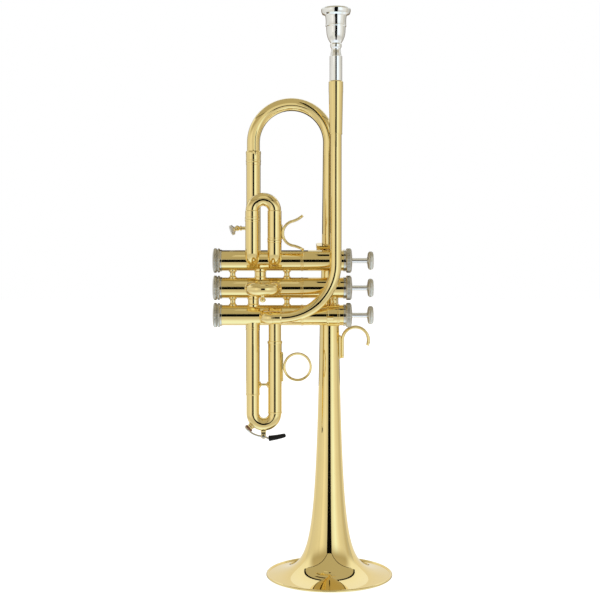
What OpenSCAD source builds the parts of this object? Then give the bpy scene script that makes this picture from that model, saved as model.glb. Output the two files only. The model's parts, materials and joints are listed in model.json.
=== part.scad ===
// Piston trumpet in E flat, standing on its bell, mouthpiece up and finger buttons to +X.
// Origin: centre of the bell rim. +Z: up the bell axis. +Y: away from the valve block.

/* [Bell] */
// Outer radius of the bell rim
bell_r = 61.5; // [58:0.5:64]
// How fast the bell opens: a larger value gives a thicker throat
flare_k = 2.84; // [2.5:0.02:3.2]
// Exponent of the bell's outline
flare_power = 0.42; // [0.41:0.005:0.44]
// Radius of the rolled bead round the bell rim
bead_r = 1.25; // [1.1:0.05:1.5]
// How much of the bead is flattened where the bell stands on it
rim_flat = 0.12; // [0.05:0.01:0.2]
// Thickness of the bell's sheet
bell_wall = 0.55; // [0.45:0.05:0.6]

/* [Valves] */
// Height of the first valve's axis above the rim
valve_1_z = 307.5; // [307:0.5:308]
// Distance from one valve's axis to the next
valve_pitch = 26; // [25.5:0.25:26.5]
// How far the valves' axes lie in front of the bell's axis
valve_y = -23; // [-23.5:0.25:-22.5]
// Outer radius of a valve casing
casing_r = 9.8; // [9.6:0.1:10]
// Radius of the casing's bore
bore_r = 8.5; // [8.4:0.05:8.6]
// Gap all round between piston and bore
piston_gap = 0.05; // [0.03:0.01:0.09]
// How far a finger button goes down
valve_travel = 14; // [10:0.5:14]

/* [Tubing] */
// Outer radius of the fixed outer slide tubes and the moving sleeves
sleeve_r = 6.6; // [6.5:0.05:6.7]
// Outer radius of the slides' inner tubes
leg_r = 6; // [5.9:0.05:6]
// Outer radius of the slides' bent tubes
crook_r = 6.2; // [6.1:0.05:6.3]
// Gap all round between an inner and an outer slide tube
slide_gap = 0.05; // [0.03:0.01:0.08]
// Wall thickness of the bent tubes
pipe_wall = 0.6; // [0.5:0.05:0.7]
// Outer radius of the leadpipe
leadpipe_r = 5.4; // [5.2:0.05:5.5]
// Radius of the leadpipe's long bend
leadpipe_bend = 51; // [50:0.5:52]

/* [Slides] */
// Height of the tuning bow's arc centre
bow_z = 421.6; // [418:0.5:425]
// Outer radius of the tuning bow at its arch
bow_r = 6.25; // [6.1:0.05:6.3]
// Height of the first slide's arc centre
first_z = 354.7; // [352:0.5:358]
// Height of the third slide's arc centre
third_z = 161.5; // [158:0.5:165]
// How far the second slide's arc centre lies in front of the bell's axis
second_y = -48; // [-50:0.5:-47.5]

/* [Mouthpiece] */
// Height of the mouthpiece rim above the bell rim
mouthpiece_z = 543.9; // [542:0.5:546]
// Outer radius of the mouthpiece rim
mouthpiece_r = 13.8; // [13.4:0.1:14.2]
// Radius inside the cup's rim
cup_r = 8.3; // [7.8:0.1:8.6]
// Radius of the throat
throat_r = 1.85; // [1.7:0.05:2.2]

/* [Hidden] */
$fn = 64;
eps = 0.01;

BRASS = "#d9b14a";
SILVER = "#d8d8d6";
NICKEL = "#b9b3ad";
STEEL = "#9a9a98";
FELT = "#ded8c8";
PEARL = "#efece4";
CORK = "#a5744a";
RUBBER = "#161616";

// Places shared by several parts; a moving slide rests this far from its stop
stop_gap = 0.3;
leg_x = [-73.6, -52.6];
leg_gap = leg_x[1] - leg_x[0];
slide_x = (leg_x[0] + leg_x[1]) / 2;
crook_bend = leg_gap / 2;
first_y = -35;
bow_x = -73.8;
bow_bend = -bow_x / 2;
leadpipe_x = 5;
leadpipe_y = -40;
sleeve_in = leg_r + slide_gap;
leg_in = leg_r - 0.5;
port_r = 5.4;
strut_x = [-92.7, -41.1, 3.8];
strut_end_r = 3.1;

function valve_z(n) = valve_1_z - (n - 1) * valve_pitch;

// Places along a valve, on the X axis
casing_x0 = -103.2;
casing_joint_x = -27.7;
casing_x1 = 12.8;
bottom_cap_x = -111.3;
top_cap_x = 21;
button_x = 35.3;
button_h = 6.3;
piston_x0 = -87;
piston_x1 = -30;
cage_x1 = 12;
guide_x = -26.5;
guide_h = 2;
felt_x0 = 15.2;
cap_inner_x = 18.2;

// Heights up the leadpipe
receiver_z0 = 425.8;
receiver_z1 = 475.6;
shank_in = 22;
leadpipe_turn_z = 305;
leadpipe_low_z = leadpipe_turn_z - leadpipe_bend;
leadpipe_turn_x = leadpipe_x - leadpipe_bend;
ferrule_x0 = -54;
elbow_bend = 7;

// Heights up the bow and the bell's tail
return_top_z = 402.8;
bow_ferrule_z = 413.5;
bow_foot_z = 323.2;
bell_tail_z = 318;
bell_socket_z = 290;
bell_cone_z = 240;
bell_tail_r = 7.4;
bell_socket_r = 6.8;
bow_foot_r = 7.3;
right_leg_r = bell_socket_r - slide_gap;
return_r = 6.95;
return_in = 6.35;
left_leg_r = return_in - slide_gap;
return_bend = 10;

// ---- shared shapes ----

// Straight pipe along +Z from the origin
module pipe(r_out, r_in, len) {
    difference() {
        cylinder(r = r_out, h = len);
        translate([0, 0, -eps]) cylinder(r = r_in, h = len + 2 * eps);
    }
}

// Tapered pipe along +Z from the origin
module cone_pipe(r0, r1, wall, len) {
    rotate_extrude()
        polygon([[r0 - wall, 0], [r0, 0], [r1, len], [r1 - wall, len]]);
}

// Bent pipe in the XZ plane about the origin; angles run from +X towards +Z
module arc_pipe(bend, r_out, r_in, from, sweep) {
    rotate([0, -from, 0]) rotate([90, 0, 0]) rotate_extrude(angle = sweep)
        translate([bend, 0]) difference() {
            circle(r = r_out);
            circle(r = r_in);
        }
}

// Flat strip bent in the XZ plane about the origin; its width lies along Y
module arc_strip(bend, thick, width, from, sweep) {
    rotate([0, -from, 0]) rotate([90, 0, 0]) rotate_extrude(angle = sweep)
        translate([bend - thick / 2, -width / 2]) square([thick, width]);
}

// Turns a shape drawn along +Z so that it lies along +X
module along_x() {
    rotate([0, 90, 0]) children();
}

// Solid that fills a casing's outside, used to fit a joint against it
module casing_space(n) {
    translate([casing_x0, valve_y, valve_z(n)]) along_x()
        cylinder(r = casing_r, h = casing_x1 - casing_x0);
}

// Solid of revolution about a valve's axis; points are [radius, x]
module valve_turned(n, points) {
    translate([0, valve_y, valve_z(n)]) along_x()
        rotate_extrude() polygon(points);
}

// ---- bell ----

function flare(h) = bell_r * pow(flare_k / (h + flare_k), flare_power);
function flare_slope(h) = -flare_power * flare(h) / (h + flare_k);
bead_at = bell_r - bead_r;
sheet_h0 = flare_k * (pow(bell_r / bead_at, 1 / flare_power) - 1);
bead_z = bead_r - rim_flat;
lip_z = bead_z + bead_r - sheet_h0;
cone_h = bell_cone_z - lip_z;
flare_steps = 26;
flare_h = [
    for (i = [0:flare_steps]) sheet_h0 + (cone_h - sheet_h0) * pow(i / flare_steps, 2.6)
];
wire_r = 0.6;
tail_step = 4;

// Point on the sheet's outer face, and the point one wall below it
function sheet_out(h) = [flare(h), h + lip_z];
function sheet_in(h) =
    let (s = flare_slope(h), n = sqrt(1 + s * s))
    sheet_out(h) + bell_wall * [-1 / n, s / n];

module bell() {
    sockets = [
        [bell_tail_r, bell_tail_z],
        [bell_socket_r, bell_tail_z],
        [bell_socket_r, bell_socket_z],
        [bell_tail_r + 0.2, bell_socket_z - tail_step]
    ];
    outer = [for (h = flare_h) sheet_out(h)];
    inner = [for (i = [flare_steps:-1:0]) sheet_in(flare_h[i])];
    color(BRASS) rotate_extrude() difference() {
        union() {
            polygon(concat(outer, sockets, inner));
            translate([bead_at, bead_z]) circle(r = bead_r);
        }
        translate([bead_at, bead_z]) circle(r = wire_r + 0.04);
        translate([bead_at - bead_r, -bead_r]) square([2 * bead_r, bead_r]);
    }
}

module bell_rim_wire() {
    color(BRASS) rotate_extrude()
        translate([bead_at, bead_z]) circle(r = wire_r);
}

// Collar on the bell's tail with the fixed stop plate
module bell_tail_ferrule() {
    color(BRASS) difference() {
        union() {
            translate([0, 0, bell_tail_z - 4]) cylinder(r = 8.6, h = 4);
            translate([-12.5, -3, bell_tail_z - 2]) cube([12.5, 6, 2]);
        }
        translate([0, 0, bell_tail_z - 5])
            cylinder(r1 = tail_r_at(bell_tail_z - 5), r2 = tail_r_at(bell_tail_z + 1), h = 6);
    }
}

function tail_r_at(z) =
    flare(cone_h) + (bell_tail_r - flare(cone_h)) * (z - bell_cone_z) / (bell_tail_z - bell_cone_z);

// Band round the third casing, strut back to the bell and the lug on the band's front
brace_x = 3.2;
brace_w = 11.5;
band_r = casing_r + 0.9;

module bell_brace() {
    color(BRASS) difference() {
        union() {
            translate([brace_x - brace_w / 2, valve_y, valve_z(3)]) along_x()
                pipe(band_r, casing_r, brace_w);
            translate([0, valve_y + band_r - 0.6, valve_z(3)]) rotate([-90, 0, 0])
                cylinder(r = 2.6, h = -valve_y - band_r + 0.6);
            translate([-3.3, valve_y - band_r - 1.6, valve_z(3) - 5])
                cube([6.6, 2.4, 4.2]);
        }
        translate([0, 0, bell_cone_z])
            cylinder(r1 = tail_r_at(bell_cone_z), r2 = bell_tail_r, h = bell_tail_z - bell_cone_z);
        translate([strut_x[2], valve_y, valve_z(3)]) cylinder(r = strut_end_r, h = 2 * casing_r);
        casing_space(3);
    }
}

// ---- leadpipe side ----

module mouthpiece() {
    z1 = mouthpiece_z;
    rim_h = 6;
    shank_r = 5.9;
    lip_r = 2.2;
    outer = [
        [mouthpiece_r - 0.9, z1 - rim_h], [10.9, z1 - 6.7], [10, z1 - 8], [9.6, z1 - 10.5],
        [9.5, z1 - 13.5], [9.65, z1 - 16.4], [9.65, z1 - 17.2], [9.05, z1 - 17.7],
        [9.05, z1 - 20], [8.75, z1 - 24], [8, z1 - 27.5], [6.9, z1 - 30.3], [5.4, z1 - 32.6],
        [4.9, z1 - 33.3], [5.15, z1 - 34.2], [5.15, z1 - 36.6], [4.6, z1 - 37.6], [4.3, z1 - 38.4],
        [4.75, z1 - 42], [5.1, z1 - 44.6], [shank_r, z1 - 45.6], [shank_r, receiver_z1 + 0.2],
        [5.6, receiver_z1 + 0.2], [5.1, receiver_z1 - shank_in]
    ];
    bore = [
        [4.3, receiver_z1 - shank_in], [throat_r, z1 - 20], [throat_r, z1 - 17],
        [3.6, z1 - 14.2], [6.3, z1 - 11], [cup_r - 0.5, z1 - 6], [cup_r, z1 - lip_r]
    ];
    lip = [
        for (a = [180:-15:0]) let (mid = (cup_r + mouthpiece_r) / 2, half = (mouthpiece_r - cup_r) / 2)
            [mid + half * cos(a), z1 - lip_r + lip_r * sin(a)]
    ];
    color(SILVER) translate([leadpipe_x, leadpipe_y, 0])
        rotate_extrude() polygon(concat(bore, lip, outer));
}

module receiver() {
    top_r = 6.8;
    foot_r = 5.9;
    chamfer = 0.8;
    seat_gap = 0.05;
    color(BRASS) translate([leadpipe_x, leadpipe_y, 0]) rotate_extrude() polygon([
        [leadpipe_r, receiver_z0], [foot_r, receiver_z0], [top_r, receiver_z1 - 9],
        [top_r, receiver_z1 - chamfer], [top_r - chamfer, receiver_z1], [5.6 + seat_gap, receiver_z1],
        [5.1 + seat_gap, receiver_z1 - shank_in - 1], [leadpipe_r, receiver_z1 - shank_in - 1]
    ]);
}

module leadpipe() {
    pipe_in = leadpipe_r - 0.7;
    top_z = receiver_z1 - shank_in - 1.5;
    color(BRASS) {
        translate([leadpipe_x, leadpipe_y, leadpipe_turn_z])
            pipe(leadpipe_r, pipe_in, top_z - leadpipe_turn_z);
        translate([leadpipe_turn_x, leadpipe_y, leadpipe_turn_z])
            arc_pipe(leadpipe_bend, leadpipe_r, pipe_in, -90, 90);
        translate([ferrule_x0 + 2, leadpipe_y, leadpipe_low_z]) along_x()
            pipe(leadpipe_r, pipe_in, leadpipe_turn_x - ferrule_x0 - 2);
    }
}

module leadpipe_ferrule() {
    ferrule_r = 6.1;
    ferrule_len = 8;
    color(BRASS) translate([ferrule_x0, leadpipe_y, leadpipe_low_z]) along_x() {
        pipe(ferrule_r, leadpipe_r, ferrule_len - 1);
        translate([0, 0, ferrule_len - 1]) difference() {
            cylinder(r1 = ferrule_r, r2 = ferrule_r - 0.4, h = 1);
            translate([0, 0, -eps]) cylinder(r = leadpipe_r, h = 1 + 2 * eps);
        }
    }
}

module leadpipe_elbow() {
    elbow_r = 6.3;
    color(BRASS) difference() {
        union() {
            translate([ferrule_x0, leadpipe_y + elbow_bend, leadpipe_low_z]) rotate([0, 0, 180])
                rotate_extrude(angle = 90) translate([elbow_bend, 0]) difference() {
                    circle(r = elbow_r);
                    circle(r = elbow_r - 0.9);
                }
            translate([ferrule_x0 - elbow_bend, leadpipe_y + elbow_bend, leadpipe_low_z])
                rotate([-90, 0, 0]) pipe(elbow_r, elbow_r - 0.9, 6);
        }
        casing_space(3);
    }
}

// ---- tuning bow ----

module tuning_bow() {
    color(BRASS) {
        translate([-bow_bend, 0, bow_z]) arc_pipe(bow_bend, bow_r, bow_r - pipe_wall, 0, 180);
        translate([0, 0, bow_foot_z]) cone_pipe(bow_foot_r, bow_r, pipe_wall, bow_z - bow_foot_z);
        translate([bow_x, 0, return_top_z + 4]) pipe(bow_r, bow_r - pipe_wall, bow_z - return_top_z - 4);
    }
}

module bow_legs() {
    left_len = 34;
    right_len = 24;
    color(BRASS) {
        translate([bow_x, 0, return_top_z - left_len]) pipe(left_leg_r, left_leg_r - 0.5, left_len + 4);
        translate([0, 0, bow_foot_z - right_len - 3])
            pipe(right_leg_r, right_leg_r - 0.5, right_len + 3);
    }
}

// Ferrule where the bow meets its left inner tube, and the stop plate on the bow's foot
module bow_ferrules() {
    ferrule_r = 7.35;
    round_h = 1.2;
    plate_x = -12.9;
    color(BRASS) {
        translate([bow_x, 0, 0]) rotate_extrude() polygon([
            [left_leg_r, return_top_z], [ferrule_r - 0.3, return_top_z], [ferrule_r, return_top_z + 0.4],
            [ferrule_r, bow_ferrule_z - round_h], [ferrule_r - 0.5, bow_ferrule_z],
            [left_leg_r, bow_ferrule_z]
        ]);
        difference() {
            union() {
                translate([0, 0, bell_tail_z + stop_gap]) cylinder(r = 8.6, h = 4.5);
                translate([plate_x + 2, -2, bow_foot_z - 2.8]) cube([-plate_x - 2, 4, 2.5]);
                translate([plate_x + 2, 0, bow_foot_z - 2.8]) cylinder(r = 2, h = 2.5);
            }
            translate([0, 0, bow_foot_z - 5]) cylinder(r = right_leg_r, h = 6);
        }
    }
}

module return_tube() {
    color(BRASS) translate([bow_x, 0, valve_1_z + return_bend])
        pipe(return_r, return_in, return_top_z - stop_gap - valve_1_z - return_bend);
}

module return_elbow() {
    color(BRASS) difference() {
        union() {
            translate([bow_x, -return_bend, valve_1_z + return_bend]) rotate([0, 0, 90])
                arc_pipe(return_bend, return_in, return_in - pipe_wall, -90, 90);
            translate([bow_x, -return_bend, valve_1_z]) rotate([90, 0, 0])
                pipe(return_in, return_in - pipe_wall, 6);
            translate([bow_x, 0, valve_1_z + return_bend]) pipe(return_in, return_in - pipe_wall, 6);
        }
        casing_space(1);
    }
}

// ---- valves ----

// Lower casing with the holes that its tubes open into; each hole is [x, direction]
module casing(n, ports) {
    color(BRASS) difference() {
        translate([casing_x0, valve_y, valve_z(n)]) along_x()
            pipe(casing_r, bore_r, casing_joint_x - casing_x0);
        for (p = ports) translate([p[0], valve_y, valve_z(n)]) rotate(p[1])
            cylinder(r = port_r, h = casing_r + 1);
    }
}

FRONT = [90, 0, 0];
BACK = [-90, 0, 0];
UP = [0, 0, 0];
DOWN = [180, 0, 0];
crossover_x = [-66.4, -73];
elbow_x = ferrule_x0 - elbow_bend;

module casing_1() {
    casing(1, [[leg_x[0], FRONT], [leg_x[1], FRONT], [bow_x, BACK], [crossover_x[0], DOWN]]);
}
module casing_2() {
    casing(2, [[leg_x[0], FRONT], [leg_x[1], FRONT], [crossover_x[0], UP], [crossover_x[1], DOWN]]);
}
module casing_3() {
    casing(3, [[leg_x[0], DOWN], [leg_x[1], DOWN], [elbow_x, FRONT], [crossover_x[1], UP]]);
}

// Upper halves of the casings, each with the ring that covers the joint
module upper_casings() {
    upper_in = 9;
    ring_r = casing_r + 0.25;
    ring_w = 1.7;
    color(BRASS) for (n = [1:3]) valve_turned(n, [
        [bore_r, casing_joint_x], [casing_r, casing_joint_x], [ring_r, casing_joint_x + 0.2],
        [ring_r, casing_joint_x + ring_w], [casing_r, casing_joint_x + ring_w + 0.2],
        [casing_r, casing_x1], [upper_in, casing_x1], [upper_in, guide_x], [bore_r, guide_x]
    ]);
}

// Turned struts between neighbouring casings
module casing_struts() {
    gap = valve_pitch - 2 * casing_r;
    end_r = strut_end_r;
    waist_r = 2.3;
    color(BRASS) for (n = [1:2]) for (x = strut_x) difference() {
        translate([x, valve_y, valve_z(n) - valve_pitch / 2]) rotate_extrude() polygon([
            [0, -gap / 2 - 1], [end_r, -gap / 2 - 1], [end_r, -gap / 2 + 1.6], [waist_r, -0.9],
            [waist_r, 0.9], [end_r, gap / 2 - 1.6], [end_r, gap / 2 + 1], [0, gap / 2 + 1]
        ]);
        casing_space(n);
        casing_space(n + 1);
    }
}

module crossover_tubes() {
    tube_r = port_r;
    reach = valve_pitch - casing_r;
    color(BRASS) for (n = [1:2]) difference() {
        translate([crossover_x[n - 1], valve_y, valve_z(n) - reach])
            pipe(tube_r, tube_r - 0.8, reach - casing_r + 2);
        casing_space(n);
        casing_space(n + 1);
    }
}

// Hollow piston with three cross passages and a slotted spring cage on top
passage_x = [-68, -54, -40];

module piston(n) {
    piston_r = bore_r - piston_gap;
    passage_r = 5.2;
    cage_r = 7.6;
    slot_w = 4.4;
    color(NICKEL) translate([0, valve_y, valve_z(n)]) difference() {
        union() {
            difference() {
                translate([piston_x0, 0, 0]) along_x() cylinder(r = piston_r, h = piston_x1 - piston_x0);
                translate([piston_x0 - 1, 0, 0]) along_x()
                    cylinder(r = piston_r - 0.8, h = piston_x1 - piston_x0 - 1);
            }
            intersection() {
                translate([piston_x0, 0, 0]) along_x() cylinder(r = piston_r, h = piston_x1 - piston_x0);
                for (x = passage_x) translate([x, 0, -casing_r]) cylinder(r = passage_r + 0.6, h = 2 * casing_r);
            }
            translate([piston_x1, 0, 0]) along_x() pipe(cage_r, cage_r - 0.7, cage_x1 - piston_x1);
            translate([cage_x1 - 1.5, 0, 0]) along_x() cylinder(r = cage_r, h = 1.5);
        }
        for (x = passage_x) translate([x, 0, -casing_r]) cylinder(r = passage_r, h = 2 * casing_r);
        translate([guide_x - 0.4, -slot_w / 2, -casing_r])
            cube([guide_h + valve_travel + 0.8, slot_w, 2 * casing_r]);
    }
}

module valve_guides() {
    arm_w = 3.6;
    hub_r = 6.2;
    ring_in = 8;
    ring_out = 8.9;
    color(NICKEL) for (n = [1:3]) translate([guide_x, valve_y, valve_z(n)]) {
        along_x() pipe(hub_r, 3, guide_h);
        for (side = [-1, 1]) translate([0, -arm_w / 2, side > 0 ? 5.5 : -8.6]) cube([guide_h, arm_w, 3.1]);
        along_x() pipe(ring_out, ring_in, guide_h);
    }
}

// Coil spring between the guide and the top of the piston's cage, swept along a helix
spring_turns = 8;
spring_r = 5;
spring_wire = 0.45;
spring_steps = 12;
wire_sides = 5;

function spring_ring(i, rise) =
    let (a = 360 * i / spring_steps, r = spring_r)
    [
        for (k = [0:wire_sides - 1]) let (b = 360 * k / wire_sides)
            [(r + spring_wire * cos(b)) * cos(a), (r + spring_wire * cos(b)) * sin(a),
             rise * i + spring_wire * sin(b)]
    ];

module spring(n) {
    x0 = guide_x + guide_h + spring_wire;
    x1 = cage_x1 - 1.5 - spring_wire;
    count = spring_turns * spring_steps;
    rise = (x1 - x0) / count;
    points = [for (i = [0:count]) each spring_ring(i, rise)];
    sides = [
        for (i = [0:count - 1]) for (k = [0:wire_sides - 1]) let (j = (k + 1) % wire_sides)
            [i * wire_sides + k, (i + 1) * wire_sides + k, (i + 1) * wire_sides + j, i * wire_sides + j]
    ];
    first_end = [for (k = [0:wire_sides - 1]) k];
    last_end = [for (k = [wire_sides - 1:-1:0]) count * wire_sides + k];
    color(STEEL) translate([x0, valve_y, valve_z(n)]) along_x()
        polyhedron(points, concat([first_end, last_end], sides));
}

stem_r = 2.4;
stem_hole_r = 2.7;

module stem(n) {
    color(NICKEL) translate([cage_x1, valve_y, valve_z(n)]) along_x() {
        cylinder(r = 5, h = felt_x0 - cage_x1 - 0.1);
        cylinder(r = stem_r, h = button_x - cage_x1);
    }
}

module button(n) {
    rim_r = 8.75;
    well_r = 7.1;
    color(NICKEL) valve_turned(n, [
        [0, button_x], [3.4, button_x], [4.4, button_x + 0.9], [rim_r - 0.9, button_x + 1.2],
        [rim_r, button_x + 2.2], [rim_r, button_x + button_h - 1.6], [rim_r - 0.7, button_x + button_h - 0.5],
        [well_r, button_x + button_h - 0.5], [well_r, button_x + button_h - 1.6], [0, button_x + button_h - 1.6]
    ]);
}

module pearl(n) {
    pearl_r = 7.1;
    color(PEARL) valve_turned(n, [
        [0, button_x + button_h - 1.6], [pearl_r, button_x + button_h - 1.6],
        [pearl_r, button_x + button_h - 0.5], [4, button_x + button_h - 0.1], [0, button_x + button_h]
    ]);
}

knurl_r = 11.7;

module bottom_caps() {
    x = bottom_cap_x;
    color(NICKEL) for (n = [1:3]) valve_turned(n, [
        [0, x + 0.6], [3.2, x + 0.6], [3.6, x], [knurl_r - 1.2, x], [knurl_r, x + 0.9],
        [knurl_r, x + 3], [knurl_r - 1.3, x + 3.5], [knurl_r - 1.3, x + 4], [knurl_r - 0.5, x + 4.5],
        [knurl_r - 0.5, x + 6.2], [casing_r + 0.5, x + 6.8], [casing_r + 0.5, x + 8.4],
        [casing_r, x + 8.4], [casing_r, casing_x0], [bore_r, casing_x0], [bore_r, x + 2], [0, x + 2]
    ]);
}

module top_caps() {
    x = casing_x1;
    color(NICKEL) for (n = [1:3]) valve_turned(n, [
        [stem_hole_r, cap_inner_x], [stem_hole_r, top_cap_x], [4.6, top_cap_x], [7.6, x + 7.2],
        [10.4, x + 6.3], [knurl_r, x + 5.6], [knurl_r, x + 2.8], [knurl_r - 1.1, x + 2.2],
        [10.4, x + 2], [10.4, x], [8, x], [8, cap_inner_x]
    ]);
}

module cap_felts() {
    color(FELT) for (n = [1:3]) valve_turned(n, [
        [stem_hole_r, felt_x0], [8, felt_x0], [8, cap_inner_x], [stem_hole_r, cap_inner_x]
    ]);
}

// ---- first slide ----

first_stop_z = [346.8, 327];
first_port_z = [308.5, 308.2];
first_bend = [8, 7.2];

// Fixed tubes of the first slide: wide tube on the left, narrow one on the right, and their elbows
module first_slide_tubes() {
    color(BRASS) for (i = [0:1]) difference() {
        z = first_port_z[i] + first_bend[i];
        union() {
            translate([leg_x[i], first_y + first_bend[i], z]) rotate([0, 0, 90])
                arc_pipe(first_bend[i], sleeve_r, leg_in, 180, 90);
            translate([leg_x[i], first_y, z]) {
                pipe(sleeve_r, i == 0 ? sleeve_in : leg_in, first_stop_z[i] - stop_gap - z);
                if (i == 1) pipe(leg_r, leg_in, first_z - 5 - z);
            }
        }
        casing_space(1);
    }
}

module first_slide_crook() {
    color(BRASS) translate([slide_x, first_y, first_z])
        arc_pipe(crook_bend, crook_r, crook_r - pipe_wall, 0, 180);
}

// Moving tubes: a ferrule and inner tube on the left, an outer sleeve on the right
module first_slide_legs() {
    inner_len = 22;
    color(BRASS) {
        translate([leg_x[0], first_y, first_stop_z[0]]) pipe(sleeve_r, leg_in, first_z - first_stop_z[0]);
        translate([leg_x[0], first_y, first_stop_z[0] - inner_len]) pipe(leg_r, leg_in, inner_len);
        translate([leg_x[1], first_y, first_stop_z[1]]) pipe(sleeve_r, sleeve_in, first_z - first_stop_z[1]);
    }
}

// Thumb saddle: a bent strip, open to the right, with flared tips
saddle_at = [-33.1, 333.2];
saddle_bend = 11.7;
saddle_thick = 1.5;
saddle_w = 9;

module thumb_saddle() {
    tip_bend = 24;
    reach = saddle_bend + tip_bend;
    turn = 105;
    low_turn = 100;
    tip_thick = saddle_thick - 0.2;
    tip_w = saddle_w - 0.4;
    color(BRASS) difference() {
        union() {
            translate([saddle_at[0], first_y, saddle_at[1]]) {
                arc_strip(saddle_bend, saddle_thick, saddle_w, turn, 360 - turn - low_turn);
                translate([reach * cos(turn), 0, reach * sin(turn)])
                    arc_strip(tip_bend, tip_thick, tip_w, turn + 178, 28);
                translate([reach * cos(-low_turn), 0, reach * sin(-low_turn)])
                    arc_strip(tip_bend, tip_thick, tip_w, 156 - low_turn, 26);
            }
            translate([leg_x[1] + sleeve_r - 1, first_y - 2.5, first_stop_z[1] + 0.6]) cube([2.4, 5, 14]);
        }
        translate([leg_x[1], first_y, first_stop_z[1]]) cylinder(r = sleeve_r, h = first_z - first_stop_z[1]);
    }
}

// ---- second slide ----

second_joint_y = -44;

module second_slide_tubes() {
    color(BRASS) difference() {
        for (x = leg_x) translate([x, valve_y - 6, valve_z(2)]) rotate([90, 0, 0])
            pipe(sleeve_r, sleeve_in, valve_y - 6 - second_joint_y - stop_gap);
        casing_space(2);
    }
}

module second_slide_crook() {
    color(BRASS) translate([slide_x, second_y, valve_z(2)]) rotate([90, 0, 0])
        arc_pipe(crook_bend, crook_r, crook_r - pipe_wall, 0, 180);
}

module second_slide_legs() {
    inner_len = 10.7;
    color(BRASS) for (x = leg_x) translate([x, second_joint_y, valve_z(2)]) {
        rotate([90, 0, 0]) pipe(sleeve_r, leg_in, second_joint_y - second_y);
        rotate([-90, 0, 0]) pipe(leg_r, leg_in, inner_len);
    }
}

module second_slide_knob() {
    color(BRASS) difference() {
        translate([slide_x, second_y - crook_bend, valve_z(2) - crook_r]) rotate_extrude() polygon([
            [0, 1.5], [1.5, 1.5], [1.5, -1.6], [2.2, -2.4], [2.7, -3.4], [2.7, -4.6], [1.9, -5.8], [0, -6.2]
        ]);
        translate([slide_x, second_y, valve_z(2)]) rotate([90, 0, 0])
            arc_pipe(crook_bend, crook_r, eps, 0, 180);
    }
}

// ---- third slide ----

third_top_z = [243, 231];
third_end_z = [179, third_z];
third_inner_z = 188;

// Fixed inner tubes under the third casing, with a collar on the left one
module third_slide_tubes() {
    color(BRASS) difference() {
        union() {
            for (x = leg_x) translate([x, valve_y, third_inner_z])
                pipe(leg_r, leg_in, valve_z(3) - 6 - third_inner_z);
            translate([leg_x[0], valve_y, third_top_z[0]]) pipe(sleeve_r + 0.1, leg_r, 7);
        }
        casing_space(3);
    }
}

// Moving sleeves with the ring at the mouth of the right one
module third_slide_sleeves() {
    color(BRASS) {
        for (i = [0:1]) translate([leg_x[i], valve_y, third_end_z[i]])
            pipe(sleeve_r, sleeve_in, third_top_z[i] - stop_gap - third_end_z[i]);
        translate([leg_x[1], valve_y, third_top_z[1] - 2.5]) pipe(sleeve_r + 0.5, sleeve_r, 2.2);
    }
}

water_key_a = 225;

module third_slide_crook() {
    crook_in = crook_r - pipe_wall;
    color(BRASS) difference() {
        union() {
            translate([slide_x, valve_y, third_z]) arc_pipe(crook_bend, crook_r, crook_in, 180, 180);
            translate([leg_x[0], valve_y, third_z]) pipe(crook_r, crook_in, third_end_z[0] - third_z);
        }
        translate([slide_x, valve_y, third_z]) rotate([0, 90 - water_key_a, 0])
            translate([0, 0, crook_bend]) cylinder(r = 1.6, h = crook_r + 1);
    }
}

brace_z = 189;

module third_slide_brace() {
    rod_r = 1.2;
    color(BRASS) difference() {
        translate([leg_x[0], valve_y, brace_z]) along_x() {
            translate([0, 0, sleeve_r - 1]) cylinder(r = 3.2, h = 1.9);
            cylinder(r = rod_r, h = leg_gap);
            translate([0, 0, leg_gap - sleeve_r - 0.9]) cylinder(r = 3, h = 1.9);
        }
        for (x = leg_x) translate([x, valve_y, brace_z - 5]) cylinder(r = sleeve_r, h = 10);
    }
}

ring_at = [-31, 206];
ring_bend = 12.7;

module finger_ring() {
    ring_wire = 0.85;
    foot_x = leg_x[1] + sleeve_r;
    color(BRASS) difference() {
        union() {
            translate([ring_at[0], valve_y, ring_at[1]]) rotate([90, 0, 0]) rotate_extrude()
                translate([ring_bend - 1, -2.2]) square([2, 4.4]);
            translate([foot_x - 0.8, valve_y - 2.6, ring_at[1] - 13]) cube([2.3, 5.2, 26]);
        }
        translate([leg_x[1], valve_y, ring_at[1] - 20]) cylinder(r = sleeve_r, h = 40);
        translate([ring_at[0], valve_y + 10, ring_at[1]]) rotate([90, 0, 0])
            cylinder(r = ring_bend - ring_wire, h = 20);
    }
}

// ---- water key ----

key_pivot = [slide_x - 0.4, 139.6];
ear_y = [2.35, 3.5];
ear_half = 2.6;
barrel_half = 2.2;
nipple_out = 2.6;
nipple_end = crook_bend + crook_r + nipple_out;
cork_gap = 0.15;
cork_r = 2.6;
cork_h = 2;
key_pin_r = 0.85;
lever_thick = 1.3;
lever_w = 2.8;
grip_at = [key_pivot[0] + 4.6, key_pivot[1] - 2.2];
grip_tilt = 14.6;

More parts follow.
